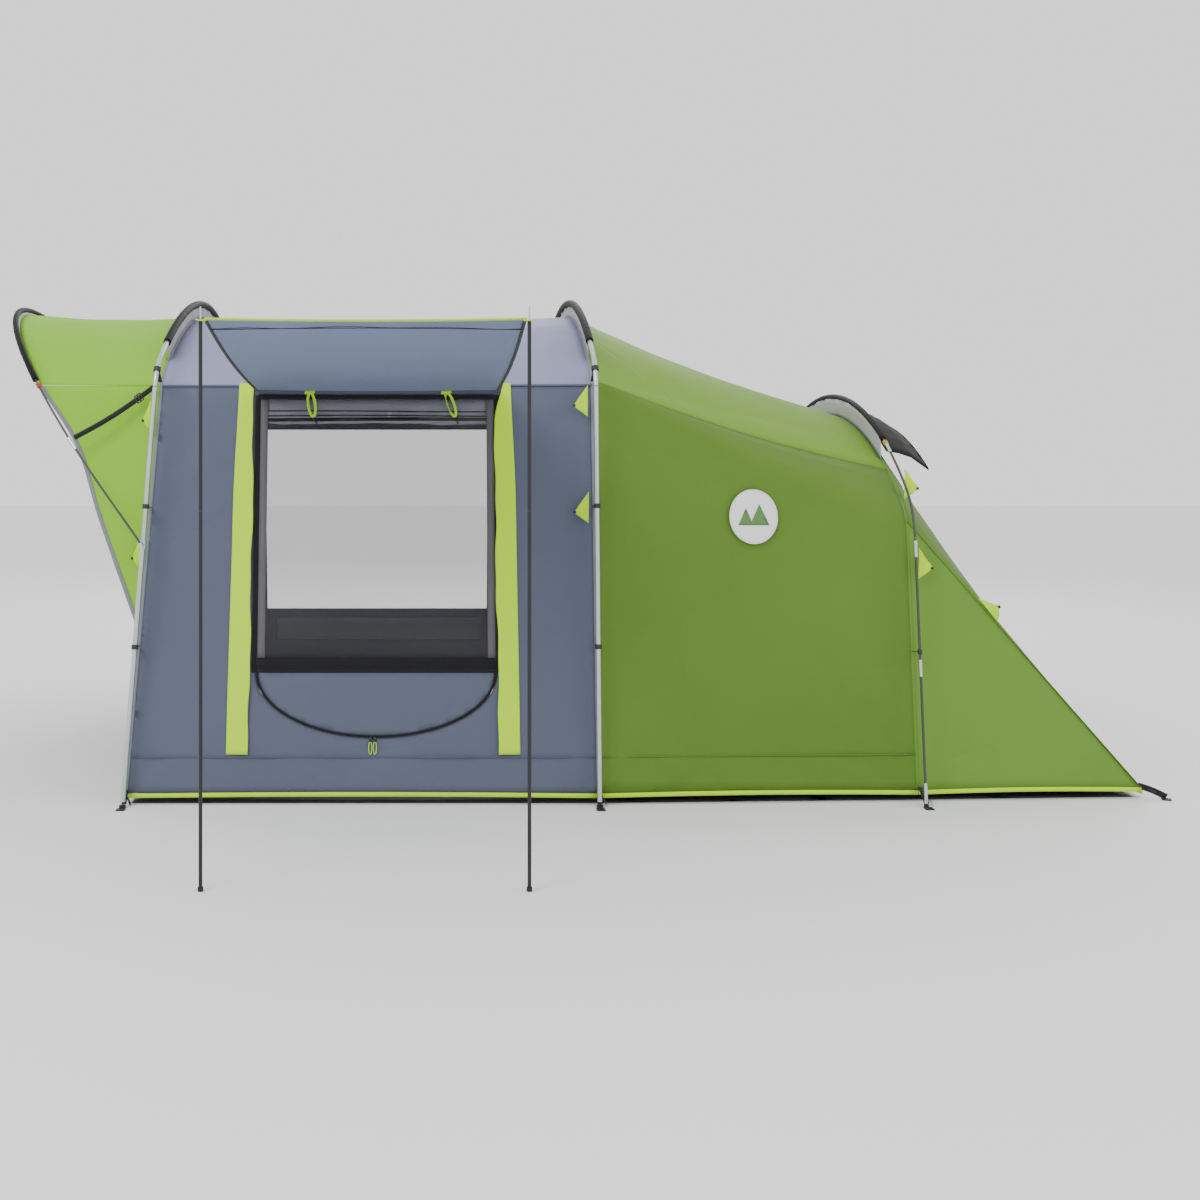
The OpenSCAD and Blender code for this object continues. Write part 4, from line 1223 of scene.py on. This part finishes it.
# ---------------------------------------------------------------- side door
def side_door():
    top = up(DOOR_TOP)

    def mesh_place(x, v, out):
        return near_wall(x, v * cos(WALL_LEAN), out - 0.0015)

    x0, x1 = DOOR_X0 + 0.003, DOOR_X1 - 0.003
    pane = [(x0, up(0.554)), (x1, up(0.554)), (x1, top - 0.020), (x0, top - 0.020)]
    o = cut_sheet("door_mesh_cloth", pane, [], "mesh", mesh_place,
                  lambda x, y, gap: ease(gap / 0.08) * ripple(x, y, 51, 0.3, 0.006), step=0.045, thick=FILM)
    lay(o, "mesh_door", ["mesh_door_window"])
    o = cut_sheet("door_lower_cloth", door_bowl(0.003, 0.499), [], "grey", mesh_place,
                  lambda x, y, gap: ease(gap / 0.06) * ripple(x, y, 52, 0.25, 0.006), step=0.03)
    lay(o, "mesh_door", ["mesh_door_panel"])
    sill = [near_wall(x, 0.527, 0.002) for x in steps(x0, x1, 30)]
    settle(ribbon("door_sill_band", sill, 0.052, Z_AXIS, "dark_tape", 0.003), "mesh_door")
    for x, tag in ((DOOR_X0 - 0.005, "front"), (DOOR_X1 + 0.005, "rear")):
        line = [near_wall(x, z, 0.0025) for z in steps(0.50, DOOR_TOP - 0.006, 30)]
        o = ribbon("door_zip_" + tag, line, 0.020, X_AXIS, "dark_tape", 0.003)
        settle(o, "mesh_door", ["mesh_door_trim"])
    for x, tag in ((DOOR_X0 + 0.020, "front"), (DOOR_X1 - 0.020, "rear")):
        line = [near_wall(x, z, 0.0005) for z in steps(0.556, DOOR_TOP - 0.022, 30)]
        settle(ribbon("door_mesh_edge_" + tag, line, 0.032, X_AXIS, "edge_tape", 0.0015), "mesh_door")
    u_line = [near_wall(x, v * cos(WALL_LEAN), 0.0025) for x, v in door_loop(0.006)[1:-1]]
    centre = near_wall(DOOR_MID, SILL)
    settle(ribbon("door_zip_lower", u_line, 0.009, lambda i: u_line[i] - centre, "dark_tape", 0.003),
           "mesh_door")
    top_line = [near_wall(x, DOOR_TOP - 0.012, 0.0025) for x in steps(DOOR_X0 + 0.005, DOOR_X1 - 0.005, 30)]
    settle(ribbon("door_zip_top", top_line, 0.018, Z_AXIS, "dark_tape", 0.003), "mesh_door")

    # The curtain is rolled up inside the top of the door.
    path = [near_wall(x, 1.512, -0.045) for x in steps(DOOR_X0 + 0.026, DOOR_X1 - 0.026, 60)]

    def roll(k, w):
        sag = 0.003 * sin(9 * k) + 0.0035 * noise.noise(vec(k * 14, cos(w) * 1.5, sin(w) * 1.5))
        return 0.036 + sag + 0.0016 * sin(5 * w + 6 * k)

    settle(tube("door_curtain_roll", path, roll, "inner_grey", 28, 0.62), "mesh_door", ["mesh_door_curtain"])
    drape = [(DOOR_X0 + 0.022, up(1.475)), (DOOR_X1 - 0.022, up(1.475)), (DOOR_X1 - 0.022, top - 0.021),
             (DOOR_X0 + 0.022, top - 0.021)]
    for k, z in enumerate((1.487, 1.502, 1.520)):
        line = [near_wall(x, z + 0.002 * sin(5 * x + k), -0.003)
                for x in steps(DOOR_X0 + 0.024, DOOR_X1 - 0.024, 40)]
        settle(ribbon(f"door_curtain_edge_{k + 1}", line, 0.014 if k == 0 else 0.005, Z_AXIS, "dark_tape",
                      0.0015), "mesh_door")
    d = cut_sheet("door_curtain_head", drape, [], "inner_grey",
                  lambda x, v, out: near_wall(x, v * cos(WALL_LEAN), out - 0.006),
                  lambda x, y, gap: 0.003 * sin(60 * x) * ease(gap / 0.03), step=0.03)
    lay(d, "mesh_door", held="hung")
    for x, lean, tag in ((-1.3366, 0.012, "front"), (-0.793, 0.030, "rear")):
        pts, mid = [], near_wall(x, 1.545, 0.006)
        for k in steps(0, 1, 36):
            a = 2 * pi * k
            z = 1.546 + 0.047 * cos(a)
            pts.append(near_wall(x + 0.014 * sin(a) + lean * (1.593 - z) / 0.094, z, 0.007 + 0.004 * k))
        t = ribbon("door_toggle_" + tag, pts, 0.011, lambda i: pts[i] - mid, "lime_tape", 0.002)
        settle(t, "shelter", ["door_toggles"])
        top_tab = [near_wall(x + d, 1.598 + 0.002 * sin(90 * d), 0.006) for d in steps(-0.022, 0.018, 8)]
        settle(ribbon("door_toggle_root_" + tag, top_tab, 0.018, Z_AXIS, "lime_tape", 0.004), "shelter")
        peg = [near_wall(x + lean + 0.004 * k, 1.492 - 0.006 * k, 0.009) for k in range(5)]
        settle(tube("door_toggle_peg_" + tag, peg, 0.0032, "plastic", 8), "shelter")
    for k, x in enumerate((-1.092, -1.074)):
        pts = [near_wall(x + 0.006 * sin(2 * pi * t), 0.215 + 0.024 * cos(2 * pi * t), 0.008)
               for t in steps(0, 1, 20)]
        settle(tube(f"zip_pull_{k + 1}", pts, 0.0016, "lime", 8), "shelter")
        settle(tube(f"zip_slider_{k + 1}", [near_wall(x, 0.237, 0.006), near_wall(x, 0.257, 0.006)],
                    0.0045, "plastic", 8), "shelter")


def storm_flaps():
    sides = {
        "front": ([(-1.620, 1.640), (-1.637, 1.170), (-1.649, 0.190)],
                  [(-1.562, 1.640), (-1.560, 1.170), (-1.563, 0.190)], 1),
        "rear": ([(-0.539, 1.640), (-0.522, 1.170), (-0.513, 0.190)],
                 [(-0.569, 1.640), (-0.603, 1.490), (-0.604, 1.170), (-0.594, 0.190)], -1)}

    def along(pts, z):
        for a, b in zip(pts, pts[1:]):
            if z >= b[1]:
                t = (a[1] - z) / (a[1] - b[1])
                return lerp(a[0], b[0], ease(t) * 0.5 + t * 0.5)
        return pts[-1][0]

    for tag, (fixed, free, s) in sides.items():
        rows = []
        for k in steps(0, 1, 12):
            line = []
            for z in steps(1.632, 0.190, 90):
                x = lerp(along(fixed, z), along(free, z), k)
                x += k * 0.003 * s * sin(11 * z + 1.5 * s) + k * 0.0015 * sin(31 * z)
                out = 0.003 + k * (0.007 + 0.002 * sin(14 * z + s) + 0.001 * sin(37 * z))
                line.append(near_wall(x, z, max(0.0015, out)))
            rows.append(line)
        if s > 0:
            rows = rows[::-1]
        o = grid("zip_flap_" + tag + "_cloth", rows, "lime",
                 lambda u, v, a, b: ripple(u, v, 60, 0.08, 0.0012))
        lay(o, "shelter", ["storm_flaps"], held="hung")


side_door()
storm_flaps()


# ---------------------------------------------------------------- seams, hem, straps and patches
def seam(name, points, across, look, width, lift):
    settle(ribbon(name, points, width, across, look, 0.0012, lift), "shelter")


def seams():
    for tag, sign, f in SIDES:
        wall = [f(flip(near_wall(x, SKIRT_Z, 0.0025)))
                for x in steps(front_edge(SKIRT_Z) + 0.01, MID_X - 0.004, 40)]
        seam("skirt_seam_living_" + tag, wall, Z_AXIS, "grey", 0.006, lift=-0.001 * sign)
        q = REAR.leg(SKIRT_Z)
        p, e = in_plane(BODY.at(BODY.leg(SKIRT_Z)), MID_X + 0.004), in_plane(REAR.at(q), REAR_X - 0.004)
        bed = [f(lerp(p, e, t) + vec(0, 0.0025, 0)) for t in steps(0, 1, 30)]
        seam("skirt_seam_bedroom_" + tag, bed, Z_AXIS, "wall", 0.006, lift=-0.001 * sign)
        eave = [f(in_front(BODY.at(1), 0.006) * (1 - t) + in_plane(BODY.at(1), MID_X - 0.002) * t)
                for t in steps(0, 1, 40)]
        seam("eave_seam_living_" + tag, eave, Z_AXIS, "grey", 0.007, lift=-0.002 * sign)
        line = [f(p) for p in bed_row(1.5, HEM, 40, bed_sag(1.5))]
        seam("eave_seam_bedroom_" + tag, line, Z_AXIS, "roof", 0.005, lift=-0.0008 * sign)
        edge = [f(tail_line(REAR, TAIL_X, TAIL_W, v)) for v in steps(0, 1, 40)]
        seam("tail_seam_" + tag, edge, Y_AXIS, "tail", 0.016, 0.001)


def arc_seam(name, arch, place, look):
    q0 = arch.leg(HEM)
    pts = [place(arch.at(q)) for q in steps(q0, 6 - q0, 120)]
    settle(ribbon(name, pts, 0.012, X_AXIS, look, 0.0015), "shelter")


def hem():
    """Lime webbing along the foot of the cloth, as separate runs that dip at the arches."""
    for tag, _, f in SIDES:
        web = BODY.at(BODY.leg(WEB_Z))
        runs = {
            "living": [in_front(web, 0.006) * (1 - t) + in_plane(web, MID_X - 0.003) * t
                       for t in steps(0, 1, 50)],
            "bedroom": [in_plane(web, MID_X + 0.003) * (1 - t)
                        + in_plane(REAR.at(REAR.leg(WEB_Z)), REAR_X) * t for t in steps(0, 1, 40)],
            "tail": [vec(lerp(REAR_X + 0.003, TAIL_X + 0.002, t), lerp(1.1985, TAIL_W, t), WEB_Z)
                     for t in steps(0, 1, 30)]}
        for part, pts in runs.items():
            n = len(pts) - 1
            pts = [p + vec(0, 0, 0.004 + 0.006 * sin(pi * i / n)) for i, p in enumerate(pts)]
            pts = [f(p) for p in pts]
            o = ribbon(f"hem_{part}_{tag}", pts, 0.017, Z_AXIS, "lime_tape", 0.003)
            settle(o, "shelter", ["hem_webbing"])
    pts = [vec(TAIL_X + 0.006, y, WEB_Z + 0.004 * sin(8 * y)) for y in steps(-TAIL_W, TAIL_W, 50)]
    settle(ribbon("hem_rear", pts, 0.026, vec(0.1, 0, 1), "lime_tape", 0.003), "shelter")
    pts = [in_front(vec(y, WEB_Z), 0.002) for y in steps(-1.25, 1.25, 50)]
    settle(ribbon("hem_front", pts, 0.026, Z_AXIS, "lime_tape", 0.003), "shelter")


def buckle(name, place, along, across):
    """A ladder buckle: a frame with a middle bar."""
    along, across = along.normalized(), across.normalized()
    w, h = 0.015, 0.013
    corners = ((-1, -1), (1, -1), (1, 1), (-1, 1), (-1, -1))
    loop = dense3([place + across * w * sx + along * h * sy for sx, sy in corners])
    bar = [place - across * w, place + across * w]
    for part, pts in (("", loop), ("_bar", bar)):
        settle(tube(name + part, pts, 0.0026, "plastic", 8), "shelter")


def dense3(loop, n=6):
    return [lerp(a, b, k / n) for a, b in zip(loop, loop[1:]) for k in range(n)] + [loop[-1]]


def straps():
    for tag, sign, f in SIDES:
        for nm, x, y0, y1 in (("front", FRONT_X, 1.258, 1.289), ("mid", MID_X, 1.258, 1.289),
                              ("rear", REAR_X, 1.205, 1.283)):
            pts = [f(vec(x + 0.004, lerp(y0, y1, t), 0.058 - 0.046 * t + 0.006 * sin(pi * t)))
                   for t in steps(0, 1, 12)]
            o = ribbon(f"foot_strap_{nm}_{tag}", pts, 0.020, X_AXIS, "web", 0.002)
            settle(o, "shelter", ["foot_straps"])
            tail = [f(vec(x + 0.010 + 0.002 * k, y1 - 0.008 + 0.004 * sin(k), 0.044 - 0.004 * k))
                    for k in range(10)]
            settle(ribbon(f"foot_strap_tail_{nm}_{tag}", tail, 0.016, vec(0, 1, 0.3), "web", 0.0016),
                   "shelter")
        sewn, pegged = vec(TAIL_X - 0.01, TAIL_W - 0.004, 0.050), vec(TAIL_X + 0.085, TAIL_W + 0.030, 0.012)
        pts = [f(lerp(sewn, pegged, t) + vec(0, 0, 0.004 * sin(3 * t))) for t in steps(0, 1, 14)]
        settle(ribbon("corner_strap_" + tag, pts, 0.025, vec(0.2, 0.3 * sign, 1), "web", 0.002), "shelter")
        buckle("corner_buckle_" + tag, f(vec(TAIL_X + 0.036, TAIL_W + 0.013, 0.036)),
               f(vec(0.9, 0.3, -0.4)), f(vec(-0.3, 1, 0)))
    for tag, sign, f in SIDES:
        pts = [f(lerp(vec(-2.262, 1.124, 1.414), vec(-1.948, 1.084, 1.622), t)
                 - vec(0, 0, 0.012 * sin(pi * t))) for t in steps(0, 1, 24)]
        o = ribbon("canopy_strap_" + tag, pts, 0.020, vec(-0.4, 0, 1), "web", 0.002)
        settle(o, "shelter", ["canopy_straps"])
        buckle("canopy_buckle_" + tag, pts[19], pts[20] - pts[18], vec(-0.5, 0, 0.8))


def patches():
    for tag, _, f in SIDES:
        spots = [("mid_low", MID_X - 0.024, 1.140, 1), ("mid_high", MID_X - 0.024, 1.560, 1),
                 ("front_low", front_edge(0.960) - 0.020, 0.960, 0.6),
                 ("front_high", front_edge(1.5) - 0.02, 1.500, 0.6)]
        spots = [(n, x, 1.231 - 0.076 * z, z, s) for n, x, z, s in spots]
        spots += [("rear_low", REAR_X + 0.024, 1.137, 0.920, -1),
                  ("rear_high", REAR_X + 0.011, 1.012, 1.230, -1),
                  ("tail", 1.345, 1.102, 0.733, -0.8)]
        for name, x, y, z, s in spots:
            turn = radians(40) if name == "tail" else 0.0
            a, b, c = (vec(x + cos(turn) * u - sin(turn) * v, y, z + sin(turn) * u + cos(turn) * v)
                       for u, v in ((0, 0.062), (0, -0.062), (-0.058 * s, -0.020)))
            rows = []
            for t in steps(0, 0.97, 8):
                rows.append([f(lerp(lerp(a, c, t), lerp(b, c, t), k) + vec(0, 0.004 * sin(9 * t + 4 * k), 0))
                             for k in steps(0, 1, 8)])
            o = grid(f"guy_patch_{name}_{tag}", rows, "lime", thick=0.002)
            o["flat"] = (0.126, 0.060 * abs(s))
            lay(o, "shelter", ["guy_patches"])
            tip = [f(lerp(lerp(a, b, k), c, 0.93)) for k in (0.2, 0.8)]
            pin = [lerp(tip[0], tip[1], k) for k in (-0.5, 1.5)]
            settle(tube(f"guy_eyelet_{name}_{tag}", pin, 0.005, "plastic", 10), "shelter")


def badge():
    centre = vec(0.418, -1.105, 1.102)
    yaw, lean = radians(2.75), radians(6.6)
    ex = vec(cos(yaw), sin(yaw), 0)
    nrm = vec(sin(yaw), -cos(yaw), sin(lean)).normalized()
    ez = nrm.cross(ex) * -1
    if ez.z < 0:
        ez = -ez

    def put(x, y, out):
        return centre + ex * x + ez * y * 1.12 + nrm * out

    ring = [(0.095 * cos(t), 0.095 * sin(t)) for t in steps(0, 2 * pi, 60)[:-1]]
    o = cut_sheet("round_patch", ring, [], "white", put, lambda x, y, gap: 0.001, step=0.012, thick=0.0016)
    lay(o, "shelter", ["badge"])
    rim = [put(x, y, 0.002) for x, y in ring] + [put(*ring[0], 0.002)]
    settle(tube("round_patch_edge", rim, 0.0022, "white", 8), "shelter")
    for k, peak in enumerate(([(-0.062, -0.030), (-0.002, -0.030), (-0.030, 0.030)],
                              [(-0.016, -0.030), (0.062, -0.030), (0.024, 0.044)])):
        m = cut_sheet(f"round_patch_peak_{k + 1}", peak, [], "motif", put,
                      lambda x, y, gap: 0.0024 + 0.0006 * k, step=0.012, thick=0.0010)
        lay(m, "shelter")


seams()
arc_seam("front_edge_seam", BODY, lambda p: in_front(p, 0.001), "grey_tape")
arc_seam("mid_edge_seam", BODY, lambda p: in_plane(p, MID_X), "grey_tape")
arc_seam("rear_edge_seam", REAR, lambda p: in_plane(p, REAR_X), "tail")
hem()
straps()
patches()
badge()


def elastics():
    """Bright shock cord that ties the end of a sleeve to its rod."""
    q0 = q_of_angle(HOOP, 37.4)
    q1 = q_of_angle(REAR_ROD, 59.6)
    spots = [("hoop", HOOP, q0, in_hoop, 0.0075, "orange", "canopy_hoop"),
             ("rear", REAR_ROD, q1, lambda p: in_plane(p, REAR_X), 0.0080, "yellow", "shelter")]
    for name, arch, q, place, r, look, body in spots:
        for side in (0, 1):
            for k in range(4):
                d = k * 0.0045
                at, on = (place(arch.at(6 - t if side else t)) for t in (q - d, q - d + 0.01))
                t = (on - at).normalized()
                a = t.cross(X_AXIS).normalized()
                b = t.cross(a)
                loop = [at + (a * cos(w) + b * sin(w)) * r + t * 0.002 * sin(w) for w in
                        steps(0, 2 * pi, 20)]
                settle(tube(f"elastic_{name}_{side + 1}_{k + 1}", loop, 0.0016, look, 8), body)


elastics()


# ---------------------------------------------------------------- floor and inner tent
def floors():
    loop = [(FRONT_X + 0.020, -1.225), (MID_X, -1.225), (REAR_X, -1.170), (TAIL_X - 0.020, -TAIL_W + 0.025),
            (TAIL_X - 0.020, TAIL_W - 0.025), (REAR_X, 1.170), (MID_X, 1.225), (FRONT_X + 0.020, 1.225)]
    o = cut_sheet("groundsheet_cloth", loop, [], "floor", lambda x, y, out: vec(x, y, 0.0015 + out),
                  lambda x, y, gap: max(0.0, 0.004 * noise.noise(vec(x * 3, y * 3, 2))) * ease(gap / 0.1),
                  step=0.06)
    lay(o, "shelter", ["groundsheet"], held="laid")
    loop = [(MID_X + 0.046, -1.165), (REAR_X, -1.110), (TAIL_X - 0.130, -TAIL_W + 0.090),
            (TAIL_X - 0.130, TAIL_W - 0.090), (REAR_X, 1.110), (MID_X + 0.046, 1.165)]
    o = cut_sheet("inner_floor_cloth", loop, [], "floor", lambda x, y, out: vec(x, y, 0.0085 + out),
                  lambda x, y, gap: 0.0, step=0.08)
    lay(o, "shelter", ["inner_floor"], held="laid")


def inner_tent():
    def place(x, y, out):
        return vec(MID_X + 0.0475 - out, x, y)

    q0 = INNER.leg(0.026)
    outline = [tuple(INNER.at(q)) for q in steps(q0, 6 - q0, 60)]

    def door(inset):
        x0, x1 = -0.450 + inset, 0.700 - inset
        r = 0.575 - inset
        a1 = asin((1.680 - inset - 1.300) / r)
        right = [(0.125 + r * cos(a), 1.300 + r * sin(a)) for a in steps(0, a1, 10)]
        left = [(0.125 - r * cos(a), 1.300 + r * sin(a)) for a in steps(a1, 0, 10)]
        return [(x0, 0.220 + inset), (x1, 0.220 + inset)] + right + left

    def wave(x, y, gap):
        return ease(gap / 0.1) * ripple(x, y, 71, 0.3, 0.008)

    o = cut_sheet("inner_front_cloth", outline, [door(0)], "inner", place, wave, step=0.06)
    lay(o, "shelter", ["inner_front"], held="hung")
    o = cut_sheet("inner_door_cloth", door(0.005), [], "inner", place, wave, step=0.05)
    lay(o, "inner_door", ["inner_door"], held="hung")
    rows = [bed_row(q, 0.026, 24, 0.02 * ease(min(q - 1.2, 4.8 - q) / 0.9), INNER, INNER_REAR, MID_X + 0.051)
            for q in steps(0, 6, 96)]
    o = grid("inner_canopy_cloth", rows, "inner", soft(72, 0.35, 0.006))
    lay(o, "shelter", ["inner_canopy"], held="hung")
    o = grid("inner_tail_cloth", tail_wall_rows(INNER_REAR, INNER_TAIL_X, INNER_TAIL_W, 40, 24), "inner",
             soft(73, 0.35, 0.006))
    lay(o, "shelter", ["inner_tail"], held="hung")
    for tag, sign, _ in SIDES:
        rows = tail_side_rows(INNER_REAR, INNER_TAIL_X, INNER_TAIL_W, 20, 14)
        rows = on_side(rows, sign)
        o = grid("inner_tail_side_" + tag, rows, "inner", soft(74, 0.35, 0.005))
        lay(o, "shelter", held="hung")


floors()
inner_tent()

# ---------------------------------------------------------------- ground
bpy.ops.mesh.primitive_plane_add(size=60, location=(0, 0, -0.0005))
ground = bpy.context.object
ground.name = "studio_floor"
t = Tree("studio_floor")
t.put("Base Color", (0.86, 0.86, 0.86, 1))
t.put("Roughness", 0.9)
ground.data.materials.append(t.mat)
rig.stage(ground)

new_lo, new_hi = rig.bounds()
with open("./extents.json", "w") as f:
    json.dump({"cad": [list(cad_lo), list(cad_hi)], "visual": [list(new_lo), list(new_hi)]}, f)
